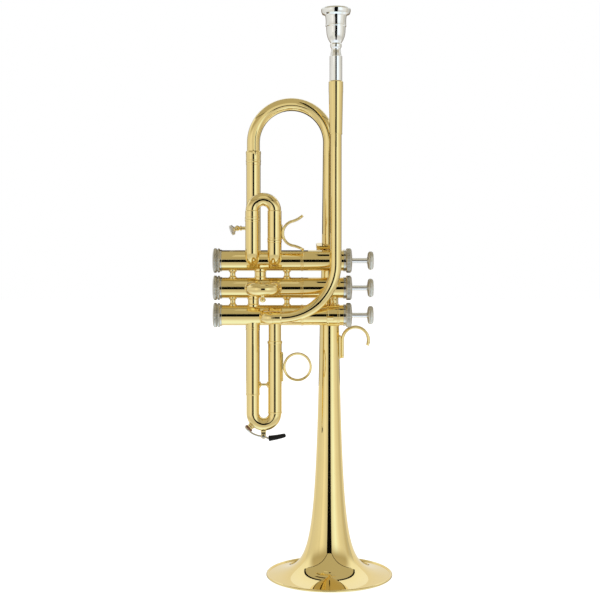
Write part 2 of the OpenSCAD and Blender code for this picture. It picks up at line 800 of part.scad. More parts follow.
// Nipple on the crook, and the saddle whose two ears carry the hinge screw
module water_key_post() {
    base_z = third_z - crook_bend - crook_r - 1.4;
    color(BRASS) difference() {
        union() {
            translate([slide_x, valve_y, third_z]) rotate([0, 90 - water_key_a, 0])
                translate([0, 0, nipple_end - nipple_out - 1.2]) pipe(3, 1.6, nipple_out + 1.2);
            translate([key_pivot[0] - ear_half, valve_y - ear_y[1], base_z])
                cube([2 * ear_half, 2 * ear_y[1], 3.2]);
            for (side = [0, 1]) translate([key_pivot[0], valve_y, key_pivot[1]]) mirror([0, side, 0])
                translate([0, ear_y[0], 0]) rotate([-90, 0, 0]) cylinder(r = 2.2, h = ear_y[1] - ear_y[0]);
            for (side = [0, 1]) translate([key_pivot[0], valve_y, key_pivot[1]]) mirror([0, side, 0])
                translate([-ear_half + 0.4, ear_y[0], 0])
                    cube([2 * ear_half - 0.8, ear_y[1] - ear_y[0], base_z - key_pivot[1] + 0.5]);
        }
        translate([slide_x, valve_y, third_z]) arc_pipe(crook_bend, crook_r, eps, 180, 180);
        translate([key_pivot[0], valve_y + 5, key_pivot[1]]) rotate([90, 0, 0])
            cylinder(r = key_pin_r, h = 10);
    }
}

// Hinge screw through both ears
module water_key_pivot() {
    head_r = 1.8;
    color(NICKEL) translate([key_pivot[0], valve_y, key_pivot[1]]) rotate([90, 0, 0]) {
        translate([0, 0, -ear_y[1]]) cylinder(r = key_pin_r, h = 2 * ear_y[1]);
        translate([0, 0, ear_y[1]]) cylinder(r = head_r, h = 0.9);
    }
}

// Lever: barrel on the hinge screw, arm and cup to the left, bent arm to the right
module water_key_lever() {
    cork_at = nipple_end + cork_gap;
    arm_bend = third_z - key_pivot[1] + 0.3;
    color(NICKEL) difference() {
        union() {
            translate([key_pivot[0], valve_y - barrel_half, key_pivot[1]]) rotate([-90, 0, 0])
                cylinder(r = 1.9, h = 2 * barrel_half);
            translate([slide_x, valve_y, third_z]) {
                arc_strip(arm_bend, lever_thick, lever_w, water_key_a, 44);
                rotate([0, 90 - water_key_a, 0]) translate([0, 0, cork_at + 0.8]) cylinder(r = 3.4, h = 2.4);
            }
            translate([key_pivot[0], valve_y - lever_w / 2, key_pivot[1] - lever_thick / 2])
                rotate([0, 26, 0]) cube([5.4, lever_w, lever_thick]);
            translate([grip_at[0], valve_y - lever_w / 2, grip_at[1] - lever_thick / 2])
                rotate([0, -grip_tilt, 0]) cube([15.5, lever_w, lever_thick]);
        }
        translate([key_pivot[0], valve_y + 5, key_pivot[1]]) rotate([90, 0, 0])
            cylinder(r = key_pin_r + 0.05, h = 10);
        translate([slide_x, valve_y, third_z]) rotate([0, 90 - water_key_a, 0])
            translate([0, 0, cork_at - 1]) cylinder(r = cork_r, h = cork_h + 1);
    }
}

module water_key_cork() {
    color(CORK) translate([slide_x, valve_y, third_z]) rotate([0, 90 - water_key_a, 0])
        translate([0, 0, nipple_end + cork_gap]) cylinder(r = cork_r, h = cork_h);
}

// Rubber sleeve over the lever's right arm
module water_key_grip() {
    near_r = 2.3;
    far_r = 1.7;
    color(RUBBER) difference() {
        translate([grip_at[0], valve_y, grip_at[1]]) rotate([0, 90 - grip_tilt, 0]) hull()
            for (y = [-1.2, 1.2]) {
                translate([0, y, 3]) sphere(r = near_r, $fn = 24);
                translate([0, y, 15.2]) sphere(r = far_r, $fn = 24);
            }
        translate([grip_at[0], valve_y - lever_w / 2, grip_at[1] - lever_thick / 2])
            rotate([0, -grip_tilt, 0]) cube([15.5, lever_w, lever_thick]);
    }
}

// ---- small fittings ----

hook_at = [25.4, 229.8];
hook_bend = 12.7;

module pinky_hook() {
    thick = 2;
    width = 8;
    foot_x = 8;
    foot_w = 7.4;
    foot_z = [211.6, 234.7];
    color(BRASS) difference() {
        union() {
            translate([hook_at[0], 0, hook_at[1]]) arc_strip(hook_bend, thick, width, -24, 204);
            translate([foot_x, -foot_w / 2, foot_z[0]])
                cube([hook_at[0] - hook_bend - foot_x, foot_w, foot_z[1] - foot_z[0]]);
        }
        rotate_extrude() polygon(concat([for (h = flare_h) sheet_out(h)], [[0, bell_cone_z], [0, 0]]));
    }
}

lyre_z = 338.6;
screw_tilt = 20;
screw_at = -89.6;

// Stub on the return tube that carries the lyre's thumb screw
module lyre_post() {
    color(BRASS) difference() {
        union() {
            translate([screw_at, 0, lyre_z]) along_x() cylinder(r = 1.7, h = bow_x - return_r - screw_at + 1);
            translate([screw_at + 2.6, 0, lyre_z]) along_x() cylinder(r = 2.5, h = 1.6);
            translate([screw_at, 0, lyre_z]) sphere(r = 2.7);
        }
        translate([bow_x, 0, lyre_z - 10]) cylinder(r = return_r, h = 20);
        translate([screw_at, 0, lyre_z]) rotate([0, -90 - screw_tilt, 0])
            translate([0, 0, -0.9]) cylinder(r = 1.25, h = 5);
    }
}

module lyre_screw() {
    color(NICKEL) translate([screw_at, 0, lyre_z]) rotate([0, -90 - screw_tilt, 0]) {
        cylinder(r = 1.2, h = 4);
        translate([0, 0, 2.9]) cylinder(r1 = 2, r2 = 4, h = 1.2);
        translate([0, 0, 4.1]) cylinder(r = 4.6, h = 2.2);
        translate([0, 0, 6.3]) cylinder(r1 = 4.6, r2 = 3.4, h = 0.7);
    }
}

mouthpiece();
receiver();
leadpipe();
leadpipe_ferrule();
leadpipe_elbow();
tuning_bow();
bow_legs();
bow_ferrules();
return_tube();
return_elbow();
bell();
bell_rim_wire();
bell_tail_ferrule();
bell_brace();
casing_1();
casing_2();
casing_3();
upper_casings();
casing_struts();
crossover_tubes();
piston(1);  // piston_1
piston(2);  // piston_2
piston(3);  // piston_3
stem(1);  // stem_1
stem(2);  // stem_2
stem(3);  // stem_3
button(1);  // button_1
button(2);  // button_2
button(3);  // button_3
pearl(1);  // pearl_1
pearl(2);  // pearl_2
pearl(3);  // pearl_3
spring(1);  // spring_1
spring(2);  // spring_2
spring(3);  // spring_3
valve_guides();
bottom_caps();
top_caps();
cap_felts();
first_slide_tubes();
first_slide_crook();
first_slide_legs();
thumb_saddle();
second_slide_tubes();
second_slide_crook();
second_slide_legs();
second_slide_knob();
third_slide_tubes();
third_slide_sleeves();
third_slide_crook();
third_slide_brace();
finger_ring();
water_key_post();
water_key_pivot();
water_key_lever();
water_key_cork();
water_key_grip();
pinky_hook();
lyre_post();
lyre_screw();
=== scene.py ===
import functools
import json
import math

import bmesh
import bpy
import numpy as np
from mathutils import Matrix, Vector

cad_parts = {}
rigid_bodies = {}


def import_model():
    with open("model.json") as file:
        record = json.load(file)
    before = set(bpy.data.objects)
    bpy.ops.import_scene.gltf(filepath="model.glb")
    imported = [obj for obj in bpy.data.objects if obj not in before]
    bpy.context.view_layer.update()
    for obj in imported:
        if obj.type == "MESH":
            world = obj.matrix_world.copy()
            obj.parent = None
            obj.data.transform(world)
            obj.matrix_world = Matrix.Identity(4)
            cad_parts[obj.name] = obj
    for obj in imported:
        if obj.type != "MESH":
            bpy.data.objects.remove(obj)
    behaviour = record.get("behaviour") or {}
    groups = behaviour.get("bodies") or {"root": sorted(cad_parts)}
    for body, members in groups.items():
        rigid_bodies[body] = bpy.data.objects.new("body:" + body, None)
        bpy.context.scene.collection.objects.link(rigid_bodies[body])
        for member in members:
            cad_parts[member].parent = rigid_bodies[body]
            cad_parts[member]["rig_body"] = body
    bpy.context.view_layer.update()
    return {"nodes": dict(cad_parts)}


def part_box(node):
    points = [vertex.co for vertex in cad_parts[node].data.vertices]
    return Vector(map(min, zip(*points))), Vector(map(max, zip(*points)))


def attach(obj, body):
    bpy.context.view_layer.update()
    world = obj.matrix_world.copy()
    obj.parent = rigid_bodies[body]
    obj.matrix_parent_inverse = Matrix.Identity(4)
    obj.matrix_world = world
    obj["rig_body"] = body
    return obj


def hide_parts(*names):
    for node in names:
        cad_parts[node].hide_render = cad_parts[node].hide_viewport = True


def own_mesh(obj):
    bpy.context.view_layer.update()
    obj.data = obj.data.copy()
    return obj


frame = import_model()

MM = 0.001
X = np.array((1.0, 0.0, 0.0))
Y = np.array((0.0, 1.0, 0.0))
Z = np.array((0.0, 0.0, 1.0))
EDGE = 0.18        # usual rounding of a turned edge, mm
EDGE_STEPS = 3
CURVE_BELOW = 22   # an outline turning by fewer degrees than this is a curve, not an edge
BEND_STEP = 3.0    # degrees between the rings of a bend
SIDES = 80
STRAP_STEPS = 60


# ---- places in the frame, in millimetres ----

@functools.cache
def node_box(node):
    return [np.array(corner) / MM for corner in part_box(node)]


def low(node):
    return node_box(node)[0]


def high(node):
    return node_box(node)[1]


def middle(node):
    return (low(node) + high(node)) / 2


def half_size(node):
    return (high(node) - low(node)) / 2


def body_of(node):
    return frame["nodes"][node]["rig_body"]


SLOTS = {name: shown.data.materials[0].name.split(".")[0] for name, shown in frame["nodes"].items()}


# ---- routes: a line of straight runs and round bends ----

def unit(v):
    return v / max(np.linalg.norm(v), 1e-12)


def polar(degrees):
    """Direction in the front plane, turned from +X towards +Z."""
    return np.array((math.cos(math.radians(degrees)), 0, math.sin(math.radians(degrees))))


def rotated(vector, axis, angle):
    c, s = math.cos(angle), math.sin(angle)
    return vector * c + np.cross(axis, vector) * s + axis * np.dot(axis, vector) * (1 - c)


class Route:
    """Starts at a place, heading ahead. A move is a length, or (radius, degrees, direction turned towards)."""

    def __init__(self, start, ahead, *moves, side=None):
        if side is None:
            side = np.array(Vector(ahead).orthogonal().normalized())
        self.legs = []
        self.stops = [0.0]
        place, s = np.array(start, float), 0.0
        ahead, side = np.array(ahead, float), np.array(side, float)
        for move in moves or (0.0,):
            if isinstance(move, tuple):
                radius, degrees, toward = move
                axis = unit(np.cross(ahead, toward))
                angle = math.radians(degrees)
                self.legs.append((s, place, ahead, side, radius, axis))
                steps = max(1, math.ceil(degrees / BEND_STEP))
                self.stops += [s + radius * angle * i / steps for i in range(1, steps + 1)]
                centre = place + np.cross(axis, ahead) * radius
                place = centre + rotated(place - centre, axis, angle)
                ahead, side = rotated(ahead, axis, angle), rotated(side, axis, angle)
                s += radius * angle
            else:
                self.legs.append((s, place, ahead, side, None, None))
                place = place + ahead * move
                s += move
                self.stops.append(s)
        self.length = s

    def at(self, s):
        """Place, direction along the line, and the two directions across it."""
        started = [leg for leg in self.legs if leg[0] <= s + 1e-9] or self.legs[:1]
        start, place, ahead, side, radius, axis = started[-1]
        if radius:
            angle = (s - start) / radius
            centre = place + np.cross(axis, ahead) * radius
            place = centre + rotated(place - centre, axis, angle)
            ahead, side = rotated(ahead, axis, angle), rotated(side, axis, angle)
        else:
            place = place + ahead * (s - start)
        return place, ahead, side, np.cross(ahead, side)


class Coil:
    """Helix about an axis."""

    def __init__(self, start, axis, side, radius, turns, length):
        self.start, self.axis, self.side = start, axis, side
        self.radius, self.turns, self.rise = radius, turns, length
        self.up = np.cross(axis, side)
        self.length = math.hypot(2 * math.pi * radius * turns, length)
        steps = int(turns * 36)
        self.stops = [self.length * i / steps for i in range(steps + 1)]

    def at(self, s):
        share = s / self.length
        angle = 2 * math.pi * self.turns * share
        out = self.side * math.cos(angle) + self.up * math.sin(angle)
        along = self.up * math.cos(angle) - self.side * math.sin(angle)
        ahead = unit(along * 2 * math.pi * self.radius * self.turns + self.axis * self.rise)
        return self.start + out * self.radius + self.axis * self.rise * share, ahead, out, np.cross(ahead, out)


# ---- shapes: (points, faces, normals) ----

def rounded(outline, edge):
    """Outline of (a, b) points with its sharp corners rounded, as (a, b, normal a, normal b) rows."""
    points = [np.array(p, float) for p in outline]
    count = len(points)
    if sum(a[0] * b[1] - b[0] * a[1] for a, b in zip(points, points[1:] + points[:1])) < 0:
        points.reverse()
    open_line = points[0][0] < 1e-9 and points[-1][0] < 1e-9
    rows = []
    for i, here in enumerate(points):
        before, after = points[i - 1], points[(i + 1) % count]
        if open_line and i in (0, count - 1):
            edge_line = after - here if i == 0 else here - before
            normal = unit(np.array((edge_line[1], -edge_line[0])))
            rows.append((*here, *normal))
            continue
        d0, d1 = unit(here - before), unit(after - here)
        n0, n1 = np.array((d0[1], -d0[0])), np.array((d1[1], -d1[0]))
        length0, length1 = np.linalg.norm(here - before), np.linalg.norm(after - here)
        cross = d0[0] * d1[1] - d0[1] * d1[0]
        turn = math.atan2(abs(cross), float(np.dot(d0, d1)))
        if math.degrees(turn) < CURVE_BELOW:
            rows.append((*here, *unit(n0 * length0 + n1 * length1)))
            continue
        room = 0.45 * min(length0, length1)
        cut = min(edge * math.tan(turn / 2), room)
        radius = cut / math.tan(turn / 2)
        sign = 1 if cross > 0 else -1
        centre = here - d0 * cut - n0 * radius * sign
        for k in range(EDGE_STEPS + 1):
            a = turn * k / EDGE_STEPS * sign
            n = np.array((n0[0] * math.cos(a) - n0[1] * math.sin(a), n0[0] * math.sin(a) + n0[1] * math.cos(a)))
            rows.append((*(centre + n * radius * sign), *n))
    return rows


def refined(rows, route, closed):
    """Adds rows where a long run of the outline passes a stop of its route."""
    out = []
    pairs = len(rows) if closed else len(rows) - 1
    for i in range(pairs):
        a, b = np.array(rows[i]), np.array(rows[(i + 1) % len(rows)])
        out.append(tuple(a))
        span = b[1] - a[1]
        if abs(span) < 1e-6:
            continue
        inside = [s for s in route.stops if min(a[1], b[1]) + 1e-6 < s < max(a[1], b[1]) - 1e-6]
        for s in sorted(inside, reverse=bool(span < 0)):
            out.append(tuple(a + (b - a) * (s - a[1]) / span))
    if not closed:
        out.append(tuple(rows[-1]))
    return out


def swept(route, outline, sides=SIDES, edge=EDGE, knurl=None):
    """Closed surface of an outline [(radius, distance along)] carried round a route.
    knurl is (teeth, depth, from, to) for fine straight ridges on that stretch."""
    first = rounded(outline, edge)
    closed = not (first[0][0] < 1e-9 and first[-1][0] < 1e-9)
    rows = refined(first, route, closed)
    if knurl:
        sides = knurl[0] * 4
    angle = np.linspace(0, 2 * np.pi, sides, endpoint=False)
    cos, sin = np.cos(angle)[:, None], np.sin(angle)[:, None]
    points, normals, rings = [], [], []
    total = 0
    for r, s, nr, ns in rows:
        place, ahead, side, up = route.at(s)
        out = cos * side + sin * up
        if r < 1e-9:
            points.append(place[None, :])
            normals.append((ahead * math.copysign(1, ns))[None, :])
            rings.append((total, 1))
            total += 1
            continue
        radius = np.full((sides, 1), r)
        if knurl and knurl[2] < s < knurl[3] and nr > 0.3:
            radius -= knurl[1] * (0.5 + 0.5 * np.cos(knurl[0] * angle))[:, None]
        points.append(place + out * radius)
        normals.append(out * nr + ahead * ns)
        rings.append((total, sides))
        total += sides
    faces = []
    pairs = len(rings) if closed else len(rings) - 1
    for i in range(pairs):
        (a, na), (b, nb) = rings[i], rings[(i + 1) % len(rings)]
        for k in range(sides):
            j = (k + 1) % sides
            if na == 1:
                faces.append((a, b + j, b + k))
            elif nb == 1:
                faces.append((a + k, a + j, b))
            else:
                faces.append((a + k, a + j, b + j, b + k))
    points, normals = np.concatenate(points), np.concatenate(normals)
    return points, faces, None if knurl else normals


def tube(route, r_out, r_in):
    """Pipe along a route."""
    return swept(route, [(r_in, 0), (r_out, 0), (r_out, route.length), (r_in, route.length)])


def loft(rings):
    """Closed surface through rings that all have the same number of points, with flat ends."""
    sides, last = len(rings[0]), (len(rings) - 1) * len(rings[0])
    faces = []
    for a in range(0, last, sides):
        for k in range(sides):
            j = (k + 1) % sides
            faces.append((a + k, a + j, a + sides + j, a + sides + k))
    faces.append(tuple(reversed(range(sides))))
    faces.append(tuple(range(last, last + sides)))
    return np.concatenate(rings), faces, None


def section_corners(steps, turn):
    """Signs of each quarter of a round-cornered section, with the angles round that corner."""
    for u, v, start in ((1, 1, 0), (-1, 1, 90), (-1, -1, 180), (1, -1, 270)):
        for k in range(steps):
            yield u, v, math.radians(start + turn * k)


def strap(route, half_width, thick, corner=0.45):
    """Strip along a route with round edges and tips. half_width is a size or a function of the distance along."""
    width_at = half_width if callable(half_width) else lambda s: half_width
    w0, w1 = width_at(0), width_at(route.length)
    ends = [w0 * (1 - math.cos(math.radians(a))) for a in range(12, 90, 13)]
    stops = [route.length * i / STRAP_STEPS for i in range(STRAP_STEPS + 1)] + list(route.stops)
    stops = sorted(set(stops + ends + [route.length - w1 / w0 * e for e in ends]))
    corner = corner * thick
    section = [(u, v * (thick / 2 - corner) + corner * math.sin(a), corner * (math.cos(a) - u))
               for u, v, a in section_corners(4, 30)]
    rings = []
    for s in stops:
        place, ahead, side, up = route.at(s)
        w = width_at(s)
        gap = min(s, route.length - s)
        if gap < w:
            w *= math.sqrt(max(1 - (1 - gap / w) ** 2, 0.02))
        w = max(w, corner * 1.05)
        rings.append(np.array([place + side * (u * w + du) + up * v for u, v, du in section]))
    return loft(rings)


def oval_sleeve(route, rows, half_wide, half_high):
    """Oval sleeve along a route; rows are (distance, share of the full section)."""
    angle = np.linspace(0, 2 * np.pi, 48, endpoint=False)
    cos, sin = np.cos(angle)[:, None], np.sin(angle)[:, None]
    rings = []
    for s, share in rows:
        place, ahead = route.at(s)[:2]
        rings.append(place + Y * cos * half_wide * share + np.cross(ahead, Y) * sin * half_high * share)
    return loft(rings)


def plate(outline, thick, at, along, across, edge=0.3):
    """Flat piece: an outline in the (along, across) plane, thickened both ways, with its edges rounded."""
    bm = bmesh.new()
    normal = np.cross(along, across)
    corners = [bm.verts.new(at + along * a + across * b - normal * thick / 2) for a, b in outline]
    base = bm.faces.new(corners)
    lifted = bmesh.ops.extrude_face_region(bm, geom=[base])["geom"]
    moved = [g for g in lifted if isinstance(g, bmesh.types.BMVert)]
    bmesh.ops.translate(bm, verts=moved, vec=Vector(normal * thick))
    bmesh.ops.recalc_face_normals(bm, faces=bm.faces)
    sharp = [e for e in bm.edges if e.calc_face_angle() > math.radians(35)]
    bmesh.ops.bevel(bm, geom=sharp, offset=edge, segments=3, profile=0.5, affect="EDGES")
    bm.verts.index_update()
    points = np.array([v.co[:] for v in bm.verts])
    faces = [tuple(v.index for v in f.verts) for f in bm.faces]
    bm.free()
    # bevel leaves its faces in an order that changes from run to run
    return points, sorted(min(f[i:] + f[:i] for i in range(len(f))) for f in faces), None


def box_outline(half_a, half_b, corner):
    """Rectangle about the origin with round corners."""
    return [(u * (half_a - corner) + corner * math.cos(a), v * (half_b - corner) + corner * math.sin(a))
            for u, v, a in section_corners(6, 18)]


def curve(*points, steps=6):
    """Smooth line through (radius, distance) points."""
    line = [np.array(p, float) for p in points]
    line = [2 * line[0] - line[1]] + line + [2 * line[-1] - line[-2]]
    out = []
    for a, b, c, d in zip(line, line[1:], line[2:], line[3:]):
        for k in range(steps):
            t = k / steps
            out.append(tuple(0.5 * (2 * b + (c - a) * t + (2 * a - 5 * b + 4 * c - d) * t * t
                                    + (3 * b - a - 3 * c + d) * t ** 3)))
    out.append(tuple(line[-2]))
    return out


def arc(centre, radius, start, end, steps):
    """Points round a centre from one angle to another, in degrees; radius may be a pair, for an oval."""
    radius_a, radius_b = np.array(radius) * np.ones(2)
    angles = [math.radians(start + (end - start) * k / steps) for k in range(steps + 1)]
    return [(centre[0] + radius_a * math.cos(a), centre[1] + radius_b * math.sin(a)) for a in angles]


def end_bead(end, height, proud=0.3):
    """Raised ring at a tube's end, for off()."""
    return [(0, end - height - 0.2), (proud, end - height), (proud, end - 0.3), (proud - 0.2, end)]


def off(size, *points):
    """Outline points given by their distance outside a radius, and their distance along."""
    return [(size + more, s) for more, s in points]


# ---- materials ----

class Nodes:
    """Short way to write a node tree."""

    def __init__(self, tree):
        self.tree = tree

    @functools.cached_property
    def place(self):
        return self.add("TexCoord").outputs["Object"]

    def add(self, kind, inputs=None, **settings):
        node = self.tree.nodes.new("ShaderNode" + kind)
        for name, value in settings.items():
            setattr(node, name, value)
        for name, value in (inputs or {}).items():
            if isinstance(value, bpy.types.NodeSocket):
                self.tree.links.new(value, node.inputs[name])
            else:
                node.inputs[name].default_value = value
        return node

    def noise(self, scale, detail=3.0, roughness=0.5, stretch=None):
        place = self.place
        if stretch:
            place = self.add("Mapping", {"Vector": place, "Scale": stretch}).outputs["Vector"]
        node = self.add("TexNoise", {"Vector": place, "Scale": scale, "Detail": detail, "Roughness": roughness})
        return node.outputs["Fac"]

    def ramp(self, value, *stops):
        """Colours along a value from 0 to 1; a plain number is a grey."""
        node = self.add("ValToRGB", {"Fac": value})
        elements = node.color_ramp.elements
        while len(elements) < len(stops):
            elements.new(0.5)
        for element, (at, colour) in zip(elements, stops):
            element.position = at
            element.color = (*(np.array(colour) * np.ones(3)), 1.0)
        return node.outputs["Color"]

    def range(self, value, low_in, high_in, low_out, high_out):
        node = self.add("MapRange", {"Value": value, "From Min": low_in, "From Max": high_in,
                                     "To Min": low_out, "To Max": high_out})
        return node.outputs["Result"]

    def bump(self, height, strength, distance):
        return self.add("Bump", {"Height": height, "Strength": strength, "Distance": distance}).outputs["Normal"]


def material(name, **fixed):
    """New material with its shader's constant sockets set; returns it with its nodes and its shader."""
    made = bpy.data.materials.new(name)
    made.use_nodes = True
    shader = made.node_tree.nodes["Principled BSDF"]
    for socket, value in fixed.items():
        shader.inputs[socket.replace("_", " ")].default_value = value
    return made, Nodes(made.node_tree), shader


def plug(nodes, shader, **links):
    for socket, value in links.items():
        nodes.tree.links.new(value, shader.inputs[socket.replace("_", " ")])


def brass():
    """Yellow brass under clear lacquer: slow changes of tone, faint polishing marks, a glossy coat."""
    made, n, shader = material("lacquered_brass", Metallic=1.0, Coat_Weight=0.35, Coat_Roughness=0.025)
    tone = n.noise(38.0, 4.0)
    cloud = n.noise(55.0, 2.0)
    colour = n.ramp(tone, (0.3, (0.885, 0.695, 0.285)), (0.7, (0.915, 0.725, 0.310)))
    plug(n, shader, Base_Color=colour, Roughness=n.range(cloud, 0.3, 0.7, 0.035, 0.050),
         Normal=n.bump(n.noise(35.0, 0.0), 0.02, 0.0001))
    return made


def plated(name, tones, roughness, dents):
    """Plated metal: tones are (scale, dark, light), roughness (scale, low, high), dents (scale, detail, strength,
    distance)."""
    made, n, shader = material(name, Metallic=1.0)
    plug(n, shader, Base_Color=n.ramp(n.noise(tones[0]), (0.3, tones[1]), (0.7, tones[2])),
         Roughness=n.range(n.noise(roughness[0]), 0.3, 0.7, *roughness[1:]),
         Normal=n.bump(n.noise(*dents[:2]), *dents[2:]))
    return made


def piston_alloy():
    """Lapped nickel alloy with fine marks round the piston."""
    made, n, shader = material("lapped_alloy", Metallic=1.0)
    marks = n.noise(1500.0, 2.0, stretch=(2.2, 0.04, 0.04))
    colour = n.ramp(n.noise(70.0), (0.3, (0.55, 0.54, 0.52)), (0.7, (0.64, 0.63, 0.61)))
    plug(n, shader, Base_Color=colour, Roughness=n.range(marks, 0.3, 0.7, 0.22, 0.38),
         Normal=n.bump(marks, 0.08, 0.0001))
    return made


def pearl():
    """Mother of pearl: layered pale bands under a clear polish."""
    made, n, shader = material("mother_of_pearl", Coat_Weight=0.6, Coat_Roughness=0.05, Roughness=0.22,
                               Subsurface_Weight=0.2, Subsurface_Scale=0.001)
    bands = n.noise(240.0, 5.0, 0.6, stretch=(1.0, 0.45, 1.6))
    colour = n.ramp(bands, (0.30, (0.78, 0.76, 0.70)), (0.45, (0.90, 0.86, 0.84)), (0.56, (0.80, 0.87, 0.84)),
                    (0.72, (0.93, 0.91, 0.88)))
    plug(n, shader, Base_Color=colour, Normal=n.bump(bands, 0.05, 0.0001))
    return made


def spring_steel():
    """Drawn steel wire."""
    made, n, shader = material("drawn_steel_wire", Metallic=1.0)
    marks = n.noise(900.0)
    colour = n.ramp(marks, (0.3, (0.42, 0.42, 0.41)), (0.7, (0.58, 0.57, 0.55)))
    plug(n, shader, Base_Color=colour, Roughness=n.range(marks, 0.3, 0.7, 0.25, 0.42),
         Normal=n.bump(marks, 0.1, 0.0001))
    return made


def felt():
    """Pressed wool: matted fibres and a soft sheen."""
    made, n, shader = material("wool_felt", Roughness=0.95, Sheen_Weight=0.5, Sheen_Roughness=0.5)
    fibres = n.noise(1400.0, 6.0, 0.7)
    colour = n.ramp(fibres, (0.3, (0.60, 0.57, 0.49)), (0.7, (0.80, 0.77, 0.68)))
    plug(n, shader, Base_Color=colour, Normal=n.bump(fibres, 0.6, 0.0004))
    return made


def cork():
    """Cut cork with dark pores."""
    made, n, shader = material("cut_cork", Roughness=0.85)
    pores = n.noise(1100.0, 5.0, 0.65)
    colour = n.ramp(pores, (0.32, (0.05, 0.02, 0.012)), (0.42, (0.17, 0.07, 0.035)), (0.7, (0.26, 0.12, 0.06)))
    plug(n, shader, Base_Color=colour, Normal=n.bump(pores, 0.5, 0.0003))
    return made


def rubber():
    """Black moulded rubber with a faint grain."""
    made, n, shader = material("black_rubber", Specular_IOR_Level=0.2)
    grain = n.noise(1600.0, 4.0, 0.6)
    colour = n.ramp(grain, (0.3, (0.003, 0.003, 0.003)), (0.7, (0.009, 0.0085, 0.008)))
    plug(n, shader, Base_Color=colour, Roughness=n.range(grain, 0.3, 0.7, 0.5, 0.65),
         Normal=n.bump(grain, 0.25, 0.0001))
    return made


# by slot of the CAD material: bright silver with a slight haze, warm grey nickel, turned and buffed, and the rest
MATERIALS = {
    "brass": brass(),
    "silver_plate": plated("silver_plate", (60.0, (0.90, 0.885, 0.81), (0.95, 0.935, 0.86)), (500.0, 0.05, 0.10),
                           (80.0, 1.0, 0.03, 0.0002)),
    "nickel": plated("nickel_plate", (80.0, (0.58, 0.545, 0.45), (0.70, 0.66, 0.55)), (300.0, 0.08, 0.15),
                     (500.0, 2.0, 0.04, 0.0001)),
    "piston_alloy": piston_alloy(), "pearl": pearl(), "spring_steel": spring_steel(), "felt": felt(), "cork": cork(),
    "rubber": rubber(),
}
# bright drawn nickel of the valve stems and the lyre screw
BRIGHT_NICKEL = plated("polished_nickel", (90.0, (0.88, 0.87, 0.83), (0.95, 0.94, 0.90)), (300.0, 0.10, 0.16),
                       (300.0, 2.0, 0.03, 0.0001))


# ---- pieces ----

def area_normals(points, faces):
    """Point normals weighted by face area, so that flats stay flat beside small rounded edges."""
    normals = np.zeros_like(points)
    for count in {len(face) for face in faces}:
        group = np.array([face for face in faces if len(face) == count])
        corner = points[group]
        arms = corner[:, 1:] - corner[:, :1]
        total = np.cross(arms[:, :-1], arms[:, 1:]).sum(axis=1)
        for k in range(count):
            np.add.at(normals, group[:, k], total)
    lengths = np.linalg.norm(normals, axis=1, keepdims=True)
    return normals / np.maximum(lengths, 1e-15)


def piece(node, *shapes, finish=None):
    """Fine piece made of closed shapes. It stands for a CAD node and rides on that node's body."""
    points, faces, normals = [], [], []
    count = 0
    for p, f, n in shapes:
        points.append(p)
        normals.append(area_normals(p, f) if n is None else n)
        faces += [tuple(i + count for i in face) for face in f]
        count += len(p)
    name = node + "_fine"
    mesh = bpy.data.meshes.new(name)
    mesh.from_pydata((np.concatenate(points) * MM).tolist(), [], faces)
    mesh.shade_smooth()
    mesh.normals_split_custom_set_from_vertices(np.concatenate(normals).tolist())
    made = bpy.data.objects.new(name, mesh)
    bpy.context.scene.collection.objects.link(made)
    mesh.materials.append(finish or MATERIALS[SLOTS[node]])
    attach(made, body_of(node))
    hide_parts(node)
    return made


# ---- measures shared by several pieces, in millimetres ----

CASING_R = half_size("casing_1")[2]
CASING_WALL = 0.7
LEG_X = (low("third_slide_tubes")[0] + 6.7, high("third_slide_tubes")[0] - 6)
SLIDE_X = sum(LEG_X) / 2
CROOK_BEND = (LEG_X[1] - LEG_X[0]) / 2
CROOK_R = half_size("second_slide_crook")[2]
SLEEVE_R = half_size("second_slide_legs")[2]
LEG_R = SLEEVE_R - 0.6
PIPE_WALL = 0.6
BOW_X = middle("return_tube")[0]
LEADPIPE_X = middle("receiver")[0]
LEADPIPE_Y = middle("receiver")[1]
VALVES = (1, 2, 3)


def valve_at(n, x=0.0):
    centre = middle(f"casing_{n}")
    return np.array((x, centre[1], centre[2]))


def turned(place, ahead, outline, **options):
    """Turned part about an axis through a place; outline points are (radius, distance along)."""
    return swept(Route(place, ahead), outline, **options)


def kept_out(shape, *valves):
    """Ends a tube inside the walls of the valve casings it meets, clear of their bores."""
    points, faces, normals = shape
    points = points.copy()
    for n in valves:
        axis = valve_at(n)
        away = points[:, 1:] - axis[1:]
        far = np.linalg.norm(away, axis=1)
        inside = (far < CASING_R - CASING_WALL) & (far > 1e-6)
        points[inside, 1:] = axis[1:] + away[inside] / far[inside, None] * (CASING_R - CASING_WALL)
    return points, faces, normals


# ---- bell ----

FLARE_SIZE = 2.84
FLARE_POWER = 0.42
BEAD = 1.25
BELL_WALL = 0.55
BELL_R = half_size("bell")[0]
BELL_CONE_Z = 240.0
TAIL_R = 7.4
SOCKET_R = 6.8
SOCKET_Z = low("bow_legs")[2] - 6.2


def bell_r(h):
    return BELL_R * (FLARE_SIZE / (h + FLARE_SIZE)) ** FLARE_POWER


BEAD_AT = BELL_R - BEAD
BEAD_Z = middle("bell_rim_wire")[2]
BEAD_MEETS = math.radians(12)
SHEET_H0 = FLARE_SIZE * ((BELL_R / (BEAD_AT - BEAD * math.cos(BEAD_MEETS))) ** (1 / FLARE_POWER) - 1)
LIP_Z = BEAD_Z + BEAD * math.sin(BEAD_MEETS) - SHEET_H0
CONE_R = bell_r(BELL_CONE_Z - LIP_Z)


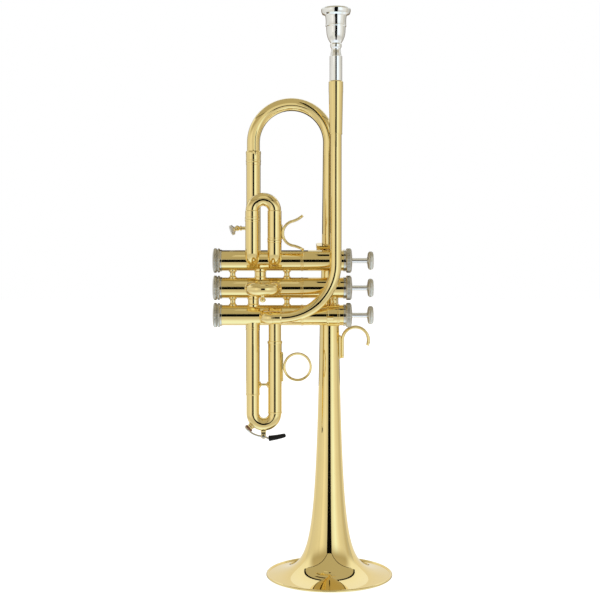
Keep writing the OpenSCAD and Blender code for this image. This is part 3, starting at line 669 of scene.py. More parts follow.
def stem_r_at(z):
    """Outer radius of the bell's stem or flare at a height."""
    if z < BELL_CONE_Z:
        return bell_r(z - LIP_Z)
    return CONE_R + (TAIL_R - CONE_R) * (z - BELL_CONE_Z) / (high("bell")[2] - BELL_CONE_Z)


def make_bell():
    cone_h = BELL_CONE_Z - LIP_Z
    steps = 110
    heights = [SHEET_H0 + (cone_h - SHEET_H0) * (i / steps) ** 2.6 for i in range(steps + 1)]
    outer, inner = [], []
    for h in heights:
        slope = -FLARE_POWER * bell_r(h) / (h + FLARE_SIZE)
        length = math.hypot(1, slope)
        outer.append((bell_r(h), h + LIP_Z))
        inner.append((bell_r(h) - BELL_WALL / length, h + LIP_Z + BELL_WALL * slope / length))
    bead = [(r, max(z, 0.0)) for r, z in arc((BEAD_AT, BEAD_Z), BEAD, 168, -168, 32)]
    top_z = high("bell")[2]
    tail = [(TAIL_R, top_z), (SOCKET_R, top_z), (SOCKET_R, SOCKET_Z), (TAIL_R + 0.2, SOCKET_Z - 4)]
    piece("bell", swept(Route((0, 0, 0), Z), inner[:0:-1] + bead[::-1] + outer[1:] + tail, sides=192))


STOP_LEAN = rotated(Y, X, math.radians(13))


def stop_outline(reach, collar_r):
    """Outline of a stop lug: it wraps the front of its tube and reaches out to a rounded end on the -X side."""
    front = arc((3 - reach, 0.4 - collar_r), 3, 270, 180, 6)
    back = arc((3 - reach, 0), 3, 180, 90, 6)
    inside = arc((0, 0), 0.7 - collar_r, -20, 110, 13)
    return [(3.0, -collar_r - 2.6)] + front + back + [(-collar_r + 0.9, 3.0)] + inside + [(3.0, -collar_r + 0.9)]


def make_bell_fittings():
    z = high("bell_tail_ferrule")[2]
    length = z - low("bell_tail_ferrule")[2]
    reach = -low("bell_tail_ferrule")[0]
    collar_r = high("bell_tail_ferrule")[0]
    piece("bell_tail_ferrule",
          turned((0, 0, z - length), Z, [(TAIL_R - 0.1, 0)] + off(
              collar_r, (-0.5, 0), (0, 0.7), (0, length - 0.6), (-0.35, length)) + [(TAIL_R - 0.1, length)]),
          plate(stop_outline(reach, TAIL_R + 0.5), 2.6, np.array((0, 0, z + 0.2)), X, STOP_LEAN, edge=0.35))

    # brace: band round the third casing, its strut back to the bell, and the lug on its front
    brace_x = middle("bell_brace")[0]
    wide = 2 * half_size("bell_brace")[0]
    valve = valve_at(3, brace_x)
    band_r = CASING_R + 0.9
    band = turned(valve - X * wide / 2, X, off(
        band_r, (-0.95, 0), (-0.25, 0), (0, 0.35), (0, 1.5), (-0.3, 1.9), (-0.3, wide - 1.9), (0, wide - 1.5),
        (0, wide - 0.35), (-0.25, wide), (-0.95, wide)), edge=0.12)
    gap = -valve[1] - band_r - stem_r_at(valve[2])
    start = np.array((0, valve[1] + band_r, valve[2]))
    waist = curve((4.2, 0.15), (3.1, 0.9), (2.45, 2.2), (2.45, gap - 2.2), (3.1, gap - 0.9), (4.2, gap + 0.1))
    strut = turned(start, Y, [(0, -0.7), (4.2, -0.7)] + waist + [(4.2, gap + 1.2), (0, gap + 1.2)])
    lug_at = np.array((0, low("bell_brace")[1] + 1.3, valve[2] - 2.9))
    lug = plate(box_outline(3.3, 2.1, 0.6), 2.2, lug_at, X, rotated(Z, X, math.radians(25)), edge=0.6)
    piece("bell_brace", band, strut, lug)


# ---- tuning bow and its way into the valves ----

BOW_R = 6.25
BOW_BEND = -BOW_X / 2
BOW_Z = high("tuning_bow")[2] - BOW_BEND - BOW_R
BOW_FOOT_Z = low("tuning_bow")[2]
BOW_FOOT_R = high("tuning_bow")[0]
BOW_LEFT_Z = high("return_tube")[2] + 4.3


def make_bow():
    left, right = BOW_Z - BOW_LEFT_Z, BOW_Z - BOW_FOOT_Z
    route = Route((BOW_X, 0, BOW_LEFT_Z), Z, left, (BOW_BEND, 180, X), right)
    arch_end = left + math.pi * BOW_BEND
    outer = [(BOW_R, 0), (BOW_R, arch_end), (BOW_FOOT_R, route.length)]
    inner = [(r - PIPE_WALL, s) for r, s in outer[::-1]]
    piece("tuning_bow", swept(route, outer + inner))

    # inner tubes that slide in the return tube and in the bell's tail
    left_low, right_low = high("return_tube")[2] + 0.3 - 34, low("bow_legs")[2]
    left_r, right_r = -(low("bow_legs")[0] - BOW_X), SOCKET_R - 0.05
    piece("bow_legs",
          tube(Route((BOW_X, 0, left_low), Z, 38.0), left_r, left_r - 0.5),
          tube(Route((0, 0, right_low), Z, BOW_FOOT_Z - right_low), right_r, right_r - 0.5))

    foot_z = high("bell_tail_ferrule")[2] + 0.3
    collar_r = high("bow_ferrules")[0]
    ferrule_r = BOW_X - low("bow_ferrules")[0]
    z0, z1 = high("return_tube")[2] + 0.3, high("bow_ferrules")[2]
    length = z1 - z0
    ferrule = turned((BOW_X, 0, z0), Z, [(BOW_R - 0.1, 0)] + off(
        ferrule_r, (-0.35, 0), (0, 0.45), (0, 1.5), (-0.2, 1.8), (-0.2, length - 3.2), (0, length - 2.9),
        (0, length - 1.3), (-0.5, length)) + [(BOW_R - 0.1, length)], edge=0.12)
    collar = turned((0, 0, foot_z), Z, [(BOW_FOOT_R - 0.6, 0)] + off(
        collar_r, (-0.35, 0), (0, 0.5), (0, 3.6)) + off(BOW_FOOT_R, (0.35, 4.5), (-0.6, 4.5)))
    tongue = plate(stop_outline(12.9, BOW_FOOT_R + 0.3), 3.3, np.array((0, 0, foot_z + 3.9)), X, STOP_LEAN, edge=0.35)
    piece("bow_ferrules", ferrule, collar, tongue)


def make_return():
    z0, z1 = low("return_tube")[2], high("return_tube")[2]
    r = half_size("return_tube")[0]
    length = z1 - z0
    piece("return_tube", turned((BOW_X, 0, z0), Z, off(
        r, (-0.6, 0), (-0.15, 0), (0, 0.35), (0, length - 2.6), (0.28, length - 2.4), (0.28, length - 0.3),
        (0.1, length), (-0.6, length)), edge=0.1))
    elbow_r = r - 0.6
    bend = z0 - valve_at(1)[2]
    route = Route((BOW_X, 0, z0 + 6), -Z, 6.0, (bend, 90, -Y), -valve_at(1)[1] - bend)
    piece("return_elbow", kept_out(tube(route, elbow_r, elbow_r - PIPE_WALL), 1))


# ---- leadpipe ----

LEADPIPE_R = 5.4
LEADPIPE_LOW_Z = low("leadpipe")[2] + LEADPIPE_R
LEADPIPE_BEND = 51.0
FERRULE_X = low("leadpipe_ferrule")[0]


def make_leadpipe():
    top = low("receiver")[2] + 26.3
    turn_z = LEADPIPE_LOW_Z + LEADPIPE_BEND
    route = Route((LEADPIPE_X, LEADPIPE_Y, top), -Z, top - turn_z, (LEADPIPE_BEND, 90, -X),
                  LEADPIPE_X - LEADPIPE_BEND - FERRULE_X - 2)
    piece("leadpipe", tube(route, LEADPIPE_R, LEADPIPE_R - 0.7))

    ferrule_r = half_size("leadpipe_ferrule")[2]
    length = 2 * half_size("leadpipe_ferrule")[0]
    piece("leadpipe_ferrule", turned((FERRULE_X, LEADPIPE_Y, LEADPIPE_LOW_Z), X, [(LEADPIPE_R - 0.1, 0)] + off(
        ferrule_r, (0.1, 0), (0.1, 1.0), (-0.05, 1.2), (-0.05, length - 1.5), (0, length - 1.3),
        (-0.45, length)) + [(LEADPIPE_R - 0.1, length)], edge=0.1))

    elbow_r, bend = 6.3, 7.0
    route = Route((FERRULE_X, LEADPIPE_Y, LEADPIPE_LOW_Z), -X, (bend, 90, Y), 6.0)
    piece("leadpipe_elbow", kept_out(tube(route, elbow_r, elbow_r - 0.9), 3))

    # receiver: tapered sleeve with a turned ring at its foot and a bevelled mouth
    z0, z1 = low("receiver")[2], high("receiver")[2]
    top_r = half_size("receiver")[0]
    length = z1 - z0
    piece("receiver", turned((LEADPIPE_X, LEADPIPE_Y, z0), Z, [
        (LEADPIPE_R - 0.1, 0), (5.9, 0), (6.05, 0.4), (6.05, 1.3), (5.95, 1.6), (top_r - 0.15, length - 11),
        (top_r, length - 9.6), (top_r, length - 0.8), (top_r - 0.8, length), (5.65, length), (5.15, length - 23),
        (LEADPIPE_R - 0.1, length - 23)], edge=0.15))


def make_mouthpiece():
    z1 = high("mouthpiece")[2]
    rim_r = half_size("mouthpiece")[0]
    seat = high("receiver")[2]
    shoulder = seat - 22 - z1
    cup_r, lip_r = 8.3, 2.2
    lip = arc(((cup_r + rim_r) / 2, -lip_r), ((rim_r - cup_r) / 2, lip_r), 180, 0, 18)
    outer = [(rim_r - 0.15, -4.0), (rim_r - 0.9, -6.0), (10.9, -6.7)] + curve(
        (10.6, -6.95), (10, -8), (9.6, -10.5), (9.5, -13.5), (9.6, -16.4), steps=4)
    outer += [(9.75, -16.7), (9.75, -17.3), (9.05, -17.8)]
    outer += curve((9.05, -18.3), (9.0, -20), (8.7, -24), (7.9, -27.5), (6.7, -30.3), (5.4, -32.4), steps=4)
    outer += curve((4.9, -33.1), (5.2, -33.7), (5.35, -34.6), (5.3, -35.9), (5.1, -36.8), (4.6, -37.5), steps=3)
    outer += curve((4.3, -38.0), (4.35, -39.5), (4.75, -42), (5.05, -44.6), steps=3)
    outer += [(5.9, -45.2), (5.9, seat + 0.2 - z1), (5.6, seat + 0.2 - z1), (5.1, shoulder)]
    bore = [(4.3, shoulder), (1.85, -20), (1.85, -17)] + curve(
        (2.1, -16.3), (3.6, -14.2), (6.3, -11), (7.5, -7.5), (8.1, -4), steps=3)
    piece("mouthpiece", turned((LEADPIPE_X, LEADPIPE_Y, z1), Z, bore + lip + outer, edge=0.15, sides=128))


# ---- valves ----

def make_valves():
    joint_x = high("casing_1")[0]
    casing_x0 = low("casing_1")[0]
    x1 = high("upper_casings")[0]
    bore_r = 8.5
    for n in VALVES:
        piece(f"casing_{n}", tube(Route(valve_at(n, casing_x0), X, joint_x - casing_x0), CASING_R, bore_r))

    # a joint ring with a fine groove, then the plain upper casing
    length = x1 - joint_x
    outline = [(bore_r, 0)] + off(
        CASING_R, (0, 0), (0.3, 0.25), (0.3, 0.95), (0.08, 1.1), (0.08, 1.25), (0.3, 1.4), (0.3, 2.0), (0, 2.3),
        (0, length)) + [(9.0, length), (9.0, 1.2), (bore_r, 1.2)]
    piece("upper_casings", *(turned(valve_at(n, joint_x), X, outline, edge=0.08) for n in VALVES))

    gap = valve_at(1)[2] - valve_at(2)[2] - 2 * CASING_R
    strut_x = (low("casing_struts")[0] + 3.1, -41.1, high("casing_struts")[0] - 3.1)
    half = gap / 2
    outline = [(0, -half - 1.5), (3.9, -half - 1.5)] + curve(
        (3.9, -half + 0.2), (3.6, -half + 0.7), (2.9, -half + 1.2), (2.6, -0.8), (2.6, 0.8), (2.9, half - 1.2),
        (3.6, half - 0.7), (3.9, half - 0.2), steps=4) + [(3.9, half + 1.5), (0, half + 1.5)]
    struts = []
    for n in VALVES[:2]:
        for x in strut_x:
            centre = (valve_at(n, x) + valve_at(n + 1, x)) / 2
            struts.append(kept_out(turned(centre, Z, outline), n, n + 1))
    piece("casing_struts", *struts)

    outline = off(5.4, (-0.8, 0), (0.55, 0), (0.55, 2.35), (0, 3.0), (0, gap + 1.0), (0.55, gap + 1.65),
                  (0.55, gap + 4), (-0.8, gap + 4))
    piece("crossover_tubes", *(
        kept_out(swept(Route(valve_at(n, x) - Z * (CASING_R - 2), -Z, gap + 4), outline), n, n + 1)
        for n, x in zip(VALVES, (-66.4, -73.0))))


KNURL_TEETH = 52
KNURL_DEPTH = 0.5


def make_caps():
    knurl_r = valve_at(1)[1] - low("top_caps")[1]
    x0 = low("bottom_caps")[0]
    length = high("bottom_caps")[0] - x0
    # two knurled rings with a groove between them, then a plain skirt
    outline = [(0, 0.6), (3.0, 0.6), (3.6, 0)] + off(
        knurl_r, (-2.4, 0), (-0.9, 0.35), (0, 1.1), (0, 2.9), (-0.5, 3.4), (-1.35, 3.6), (-1.35, 4.1), (-0.7, 4.3),
        (-0.2, 4.7), (-0.2, 5.9), (-0.7, 6.3)) + off(
        CASING_R, (0.5, 6.6), (0.5, length - 0.15), (0.05, length), (0.05, length - 0.3)) + [
        (8.5, length - 0.3), (8.5, 2), (0, 2)]
    piece("bottom_caps", *(turned(valve_at(n, x0), X, outline, edge=0.12, knurl=(KNURL_TEETH, KNURL_DEPTH, 0.9, 6.0))
                           for n in VALVES))
    x1 = low("top_caps")[0]
    cap_h = high("top_caps")[0] - x1
    outline = [(8.0, 0), (10.35, 0), (10.35, 1.9), (10.0, 2.2), (10.0, 2.6)] + off(
        knurl_r, (-0.6, 2.7), (0, 3.2), (0, 6.4), (-0.5, 7.1), (-1.5, 7.6)) + [
        (8.2, cap_h - 0.35), (5.6, cap_h - 0.2), (5.4, cap_h), (3.0, cap_h), (2.7, cap_h - 0.3), (2.7, cap_h - 2.8),
        (8.0, cap_h - 2.8)]
    piece("top_caps", *(turned(valve_at(n, x1), X, outline, edge=0.15, knurl=(KNURL_TEETH, KNURL_DEPTH, 2.9, 7.2))
                        for n in VALVES))


def make_buttons():
    for n in VALVES:
        x0 = low(f"stem_{n}")[0]
        length = high(f"stem_{n}")[0] - x0
        piece(f"stem_{n}", turned(valve_at(n, x0), X, [
            (0, 0), (5, 0), (5, 3.1), (2.4, 3.1), (2.4, length), (0, length)]), finish=BRIGHT_NICKEL)
        b0 = low(f"button_{n}")[0]
        h = high(f"pearl_{n}")[0] - b0
        rim = half_size(f"button_{n}")[1]
        dome = curve((5.2, 0.55), (7.2, 0.95), (rim - 0.45, 1.7), (rim, 2.7), (rim, h - 2.6), (rim - 0.3, h - 1.6),
                     (rim - 0.9, h - 0.75), steps=3)
        piece(f"button_{n}", turned(valve_at(n, b0), X, [(0, 0), (3.0, 0), (3.3, 0.35)] + dome + [
            (7.4, h - 0.5), (7.1, h - 0.5), (7.1, h - 1.6), (0, h - 1.6)], edge=0.12, knurl=(44, 0.35, 1.4, h - 1.2)))
        piece(f"pearl_{n}", turned(valve_at(n, b0), X, [(0, h - 1.6), (7.1, h - 1.6), (7.1, h - 0.6)] + curve(
            (6.6, h - 0.35), (4.0, h - 0.1), (1.8, h - 0.02), steps=3) + [(0, h)], edge=0.15))

    # coil springs under the stems, each with a mesh of its own
    travel, wire_r = 14.0, 0.45
    for n in VALVES:
        x0, x1 = low(f"spring_{n}")[0], high(f"spring_{n}")[0]
        coil = Coil(valve_at(n, x0 + wire_r), X, Y, 5.0, 8, x1 - x0 - 2 * wire_r)
        spring = piece(f"spring_{n}", swept(coil, [
            (0, 0), (wire_r, 0), (wire_r, coil.length), (0, coil.length)], sides=10, edge=0.1))
        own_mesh(spring)


# ---- first slide ----

def make_first_slide():
    y = middle("first_slide_crook")[1]
    arc_z = low("first_slide_crook")[2]
    stops = (346.8, 327.0)
    bends = (8.0, 7.2)
    ports = (308.5, 308.2)
    fixed = []
    for i, x in enumerate(LEG_X):
        route = Route((x, y + bends[i], ports[i]), -Y, (bends[i], 90, Z), stops[i] - 0.3 - ports[i] - bends[i])
        end = route.length
        inner = (SLEEVE_R - 0.55, LEG_R - 0.5)[i]
        fixed.append(kept_out(swept(route, [(inner, 0)] + off(
            SLEEVE_R, (0, 0), *end_bead(end, 1.9)) + [(inner, end)], edge=0.1), 1))
        if i:
            fixed.append(tube(Route((x, y, stops[i] - 10), Z, arc_z - 5 - stops[i] + 10), LEG_R, LEG_R - 0.5))
    piece("first_slide_tubes", *fixed)
    crook = Route((LEG_X[0], y, arc_z - 1.5), Z, 1.5, (CROOK_BEND, 180, X), 1.5)
    piece("first_slide_crook", tube(crook, CROOK_R, CROOK_R - PIPE_WALL))
    legs = []
    for i, x in enumerate(LEG_X):
        length = arc_z - stops[i]
        inner = (LEG_R - 0.5, SLEEVE_R - 0.55)[i]
        legs.append(swept(Route((x, y, stops[i]), Z, length), [(inner, 0)] + off(
            SLEEVE_R, (0.1, 0), (0.3, 0.3), (0.3, 1.7), (0, 1.9), (0, length - 0.5)) + [
            (CROOK_R, length + 0.1), (inner, length)], edge=0.1))
    foot_z = low("first_slide_legs")[2]
    legs.append(tube(Route((LEG_X[0], y, foot_z), Z, stops[0] - foot_z + 2), LEG_R, LEG_R - 0.5))
    piece("first_slide_legs", *legs)

    # thumb saddle: strip bent into a C with its tips rolled back, on a foot soldered along the sleeve
    centre = np.array((-33.1, y, 333.2))
    saddle = saddle_route(centre, 11.7, 24.0, 105, 260, (28, 26))
    foot_at = np.array((LEG_X[1] + SLEEVE_R + 0.15, y, stops[1] + 7.6))
    foot = plate(box_outline(2.4, 7.0, 1.6), 1.6, foot_at, Y, Z, edge=0.5)
    piece("thumb_saddle", strap(saddle, flared_width(saddle, 4.5, 0.75), 2.5), foot)


def saddle_route(centre, bend, tip_bend, start, end, tips):
    """Line of a C from one angle round to another, with a tip rolled back at each end."""
    out_centre = centre + polar(start) * (bend + tip_bend)
    tip = out_centre + polar(start + 180 + tips[0]) * tip_bend
    return Route(tip, polar(start + 90 + tips[0]), (tip_bend, tips[0], polar(start + tips[0])),
                 (bend, end - start, -polar(start)), (tip_bend, tips[1], polar(end)), side=Y)


def flared_width(route, half_width, narrow):
    """Half width of a strap that is a little narrower in its middle than at its ends."""
    def width(s):
        share = abs(2 * s / route.length - 1)
        return half_width * (narrow + (1 - narrow) * share ** 2)
    return width


# ---- second slide ----

def make_second_slide():
    z = middle("second_slide_crook")[2]
    y0 = high("second_slide_crook")[1]
    joint = low("second_slide_tubes")[1] - 0.3
    fixed, legs = [], []
    for x in LEG_X:
        route = Route((x, valve_at(2)[1] - 6, z), -Y, valve_at(2)[1] - 6 - joint - 0.3)
        end = route.length
        fixed.append(kept_out(swept(route, off(
            SLEEVE_R, (-0.55, 0), (0, 0), *end_bead(end, 1.6), (-0.55, end)), edge=0.1), 2))
        length = joint - y0
        legs.append(swept(Route((x, joint, z), -Y, length), [(LEG_R - 0.5, 0)] + off(
            SLEEVE_R, (0, 0), (0.2, 0.25), (0.2, 1.3), (0, 1.5), (0, length - 0.4)) + [
            (CROOK_R, length + 0.1), (LEG_R - 0.5, length)], edge=0.1))
        legs.append(tube(Route((x, joint - 1, z), Y, high("second_slide_legs")[1] - joint + 1), LEG_R, LEG_R - 0.5))
    piece("second_slide_tubes", *fixed)
    piece("second_slide_legs", *legs)
    crook = Route((LEG_X[0], y0 + 1.2, z), -Y, 1.2, (CROOK_BEND, 180, X), 1.2)
    piece("second_slide_crook", tube(crook, CROOK_R, CROOK_R - PIPE_WALL))
    knob_y = middle("second_slide_knob")[1]
    stalk = curve((2.3, -0.2), (1.75, 0.5), (1.5, 1.2), (1.65, 2.0), (2.35, 2.7), (2.75, 3.7), (2.6, 4.8), (1.9, 5.7),
                  steps=4)
    piece("second_slide_knob", turned((SLIDE_X, knob_y, z - CROOK_R), -Z, [(0, -1.2), (2.3, -1.2)] + stalk
                                      + [(1.0, 6.1), (0, 6.2)], edge=0.2, sides=48))


# ---- third slide ----

RING_R = 13.7


def make_third_slide():
    y = middle("third_slide_crook")[1]
    arc_z = low("third_slide_sleeves")[2]
    tops = (high("third_slide_sleeves")[2] + 0.3, 231.0)
    ends = (179.0, arc_z)
    inner_z = low("third_slide_tubes")[2]
    fixed = []
    for x in LEG_X:
        route = Route((x, y, inner_z), Z, valve_at(3)[2] - 5 - inner_z)
        fixed.append(kept_out(tube(route, LEG_R, LEG_R - 0.5), 3))
    collar = [(LEG_R - 0.05, 0)] + off(SLEEVE_R, (0.1, 0), (0.4, 0.3), (0.4, 1.5), (0.1, 1.7), (0.1, 7))
    fixed.append(kept_out(turned((LEG_X[0], y, tops[0]), Z, collar + [(LEG_R - 0.05, 7)], edge=0.1), 3))
    piece("third_slide_tubes", *fixed)

    sleeves = []
    beads = ((1.6, 0.3), (2.4, 0.5))
    for i, x in enumerate(LEG_X):
        length = tops[i] - 0.3 - ends[i]
        sleeves.append(swept(Route((x, y, ends[i]), Z, length), off(
            SLEEVE_R, (-0.55, 0), (0.1, 0), (0.2, 0.3), (0.2, 1.4), (0, 1.6), *end_bead(length, *beads[i]),
            (-0.55, length)), edge=0.1))
    piece("third_slide_sleeves", *sleeves)

    left = ends[0] - arc_z
    route = Route((LEG_X[0], y, ends[0] + 1), -Z, left + 1, (CROOK_BEND, 180, X), 1.5)
    piece("third_slide_crook", tube(route, CROOK_R, CROOK_R - PIPE_WALL))

    # brace between the legs: a rod with turned flanges
    z = middle("third_slide_brace")[2]
    span = LEG_X[1] - LEG_X[0]
    a, b = SLEEVE_R, span - SLEEVE_R
    rod = [(0, a - 0.6), (3.2, a - 0.6)] + curve(
        (3.2, a + 0.35), (2.6, a + 0.9), (1.5, a + 1.3), (1.2, a + 2.0), (1.2, span / 2), (1.2, b - 2.0),
        (1.5, b - 1.3), (2.6, b - 0.9), (3.0, b - 0.35), steps=3) + [(3.0, b + 0.6), (0, b + 0.6)]
    piece("third_slide_brace", turned((LEG_X[0], y, z), X, rod, sides=40))

    # finger ring: a flat band, on a foot soldered along the sleeve
    ring_at = middle("finger_ring")
    ring_x = high("finger_ring")[0] - RING_R
    centre = np.array((ring_x, y, ring_at[2]))
    wide = 4.4
    band = turned(centre - Y * wide / 2, Y, off(
        RING_R, (-2.2, 1.1), (-1.9, 0.65), (-0.5, 0), (0, 0.5), (0, wide - 0.5), (-0.5, wide), (-1.9, wide - 0.65),
        (-2.2, wide - 1.1)), edge=0.4, sides=128)
    outline = [(1.1, -14.0), (2.9, -4.0), (2.9, 4.0), (1.1, 14.0),
               (-1.1, 14.0), (-2.9, 4.0), (-2.9, -4.0), (-1.1, -14.0)]
    foot_at = np.array((LEG_X[1] + SLEEVE_R + 0.55, y, ring_at[2]))
    piece("finger_ring", band, plate(outline, 1.8, foot_at, Y, Z, edge=0.6))


# ---- water key ----

KEY_ANGLE = 225    # where the key closes on the crook, in degrees round it
KEY_GRIP_BEND = 100.0


def make_water_key():
    arc_z = low("third_slide_sleeves")[2]
    y = middle("third_slide_crook")[1]
    centre = np.array((SLIDE_X, y, arc_z))
    out = polar(KEY_ANGLE)
    pivot = middle("water_key_pivot") * (1, 0, 1) + np.array((0, y, 0))
    base = CROOK_BEND + CROOK_R
    nipple_end = base + 2.6
    nipple = turned(centre, out, [(1.6, base - 1.0), (3.5, base - 1.0), (3.5, base + 0.4), (3.0, base + 1.0),
                                  (3.0, nipple_end - 0.2), (2.8, nipple_end), (1.6, nipple_end)], sides=48)
    base_z = arc_z - base - 1.4
    saddle = plate(box_outline(2.6, 3.5, 0.7), 3.2, np.array((pivot[0], y, base_z + 1.6)), X, Y, edge=0.5)
    ear = [(-2.2, base_z + 0.6 - pivot[2]), (2.2, base_z + 0.6 - pivot[2])] + arc((0, 0), 2.3, 0, -180, 9)
    ears = [plate(ear, 1.1, pivot + Y * side, X, Z, edge=0.25) for side in (-2.92, 2.92)]
    piece("water_key_post", nipple, saddle, *ears)

    # hinge screw with a cheese head
    piece("water_key_pivot", turned(pivot + Y * 3.5, -Y, [
        (0, 0), (0.85, 0), (0.85, 7.0), (1.8, 7.0), (1.8, 7.6), (1.5, 7.95), (0, 8.05)], edge=0.12, sides=40))

    cork_at = nipple_end + 0.15
    cup = turned(centre + out * cork_at, out, [
        (3.92, 1.3), (4.3, 1.6), (4.3, 2.3), (3.9, 2.9), (2.8, 3.2), (0, 3.3), (0, 2.0), (3.92, 2.0)],
        edge=0.2, sides=56)
    arm_r = arc_z - pivot[2] + 0.3
    arm = Route(centre + out * arm_r, polar(KEY_ANGLE + 90), (arm_r, 44, -out), side=Y)
    barrel = turned(pivot - Y * 2.2, Y, [(0.9, 0), (1.9, 0), (1.9, 4.4), (0.9, 4.4)], sides=40)
    grip_at = pivot + np.array((4.6, 0, -2.2))
    reach = polar(6)
    down = unit(grip_at - pivot)
    link = Route(pivot - down * 0.3, down, 5.6, side=Y)
    # the grip, and the bar in it, curve up a little towards the tip
    core = Route(grip_at - reach * 0.7, reach, 0.7, (KEY_GRIP_BEND, 8.5, Z), side=Y)
    piece("water_key_lever", cup, barrel, *(strap(route, 1.4, 1.65) for route in (arm, link, core)))
    piece("water_key_cork", turned(centre + out * cork_at, out, [
        (0, 0), (3.6, 0), (3.9, 0.3), (3.9, 2.0), (0, 2.0)], edge=0.15, sides=56))

    # rubber sleeve: oval, tapering, rounded at both ends, with a rolled rim at its mouth
    rows = [(0.3, 0.7), (0.7, 0.98), (1.3, 1.06), (1.9, 1.0), (2.6, 0.97), (6, 0.93), (10, 0.86), (14, 0.78),
            (15.6, 0.74), (16.4, 0.62), (16.85, 0.4), (17.0, 0.12)]
    piece("water_key_grip", oval_sleeve(Route(grip_at, reach, (KEY_GRIP_BEND, 9.8, Z), side=Y), rows, 3.6, 2.6))


# ---- small fittings ----

def make_pinky_hook():
    thick, half_w, bend = 2.8, 4.0, 12.7
    left = high("pinky_hook") * (1, 0, 1) - X * (2 * bend + 1.0) - Z * (bend + 1.0)
    foot_low, foot_high = low("pinky_hook")[2], 234.7
    # the strip comes up off the stem, over the top and down to a rounded tip
    hook = Route(left - Z * 17.5, Z, 17.5, (bend, 204, X), side=Y)
    foot_x = left[0] - thick / 2 + 0.3
    z_mid, z_half = (foot_low + foot_high) / 2, (foot_high - foot_low) / 2
    rim = stem_r_at(z_mid)
    block = plate([(-z_half, -3.7), (z_half, -3.7), (z_half, 3.7), (-z_half, 3.7)], foot_x - rim + 1.6,
                  np.array(((foot_x + rim - 1.6) / 2, 0, z_mid)), Z, Y, edge=1.7)
    piece("pinky_hook", strap(hook, half_w, thick, corner=0.48), block)


def make_lyre():
    z = middle("lyre_post")[2]
    x = low("lyre_post")[0] + 2.7
    length = BOW_X - half_size("return_tube")[0] - x
    rod = [(0, -2.6), (1.1, -2.45), (2.0, -1.8), (2.6, -0.8), (2.7, 0), (2.6, 0.8), (2.1, 1.6), (1.7, 2.0),
           (1.7, 2.6), (2.5, 2.9), (2.5, 4.0), (1.7, 4.3), (1.7, length - 1.4), (2.4, length - 0.5),
           (2.9, length + 0.1), (2.9, length + 0.9), (0, length + 0.9)]
    piece("lyre_post", turned((x, 0, z), X, rod, edge=0.15, sides=48))
    piece("lyre_screw", turned((x, 0, z), polar(200), [
        (0, 0), (1.2, 0), (1.2, 2.2), (2.4, 2.3), (3.2, 3.3), (4.4, 3.7), (5.0, 4.2), (5.0, 6.3), (4.5, 6.9),
        (3.4, 7.2), (0, 7.25)], edge=0.12, knurl=(32, 0.4, 4.0, 6.5)), finish=BRIGHT_NICKEL)


for make in (make_bell, make_bell_fittings, make_bow, make_return, make_leadpipe, make_mouthpiece, make_valves,
             make_caps, make_buttons, make_first_slide, make_second_slide, make_third_slide, make_water_key,
             make_pinky_hook, make_lyre):
    make()


# ---- stage, light and camera ----

def sheet(name, corners, stuff):
    """Flat stage piece."""
    mesh = bpy.data.meshes.new(name)
    mesh.from_pydata(corners, [], [tuple(range(len(corners)))])
    mesh.materials.append(stuff)
    made = bpy.data.objects.new(name, mesh)
    bpy.context.scene.collection.objects.link(made)
    return made


def card(name, corners, glow=0.0, tint=(1.0, 1.0, 1.0)):
    """Flat studio card that only shows in reflections."""
    stuff, n, shader = material(name, Roughness=1.0, Specular_IOR_Level=0.0)
    cloth = n.noise(12.0, 2.0)
    plug(n, shader, Base_Color=n.ramp(cloth, (0.3, 0.002), (0.7, 0.004)))
    if glow:
        plug(n, shader, Emission_Color=n.ramp(cloth, (0.3, tint), (0.7, tuple(c * 0.98 for c in tint))))
        shader.inputs["Emission Strength"].default_value = glow
    made = sheet(name, corners, stuff)
    made.visible_camera = made.visible_diffuse = made.visible_shadow = False


def upright(name, centre_x, y, half_width, z0, z1, **options):
    """Card standing square to the camera."""
    x0, x1 = centre_x - half_width, centre_x + half_width
    card(name, [(x0, y, z0), (x1, y, z0), (x1, y, z1), (x0, y, z1)], **options)


def flat(name, centre_x, half_width, y0, y1, z, **options):
    """Card lying down."""
    x0, x1 = centre_x - half_width, centre_x + half_width
    card(name, [(x0, y0, z), (x1, y0, z), (x1, y1, z), (x0, y1, z)], **options)


CAMERA_X = -0.0286
CAMERA_Y = -1.159
CAMERA_Z = 0.3204
FLOOR = 6.0
CEILING = 2.0


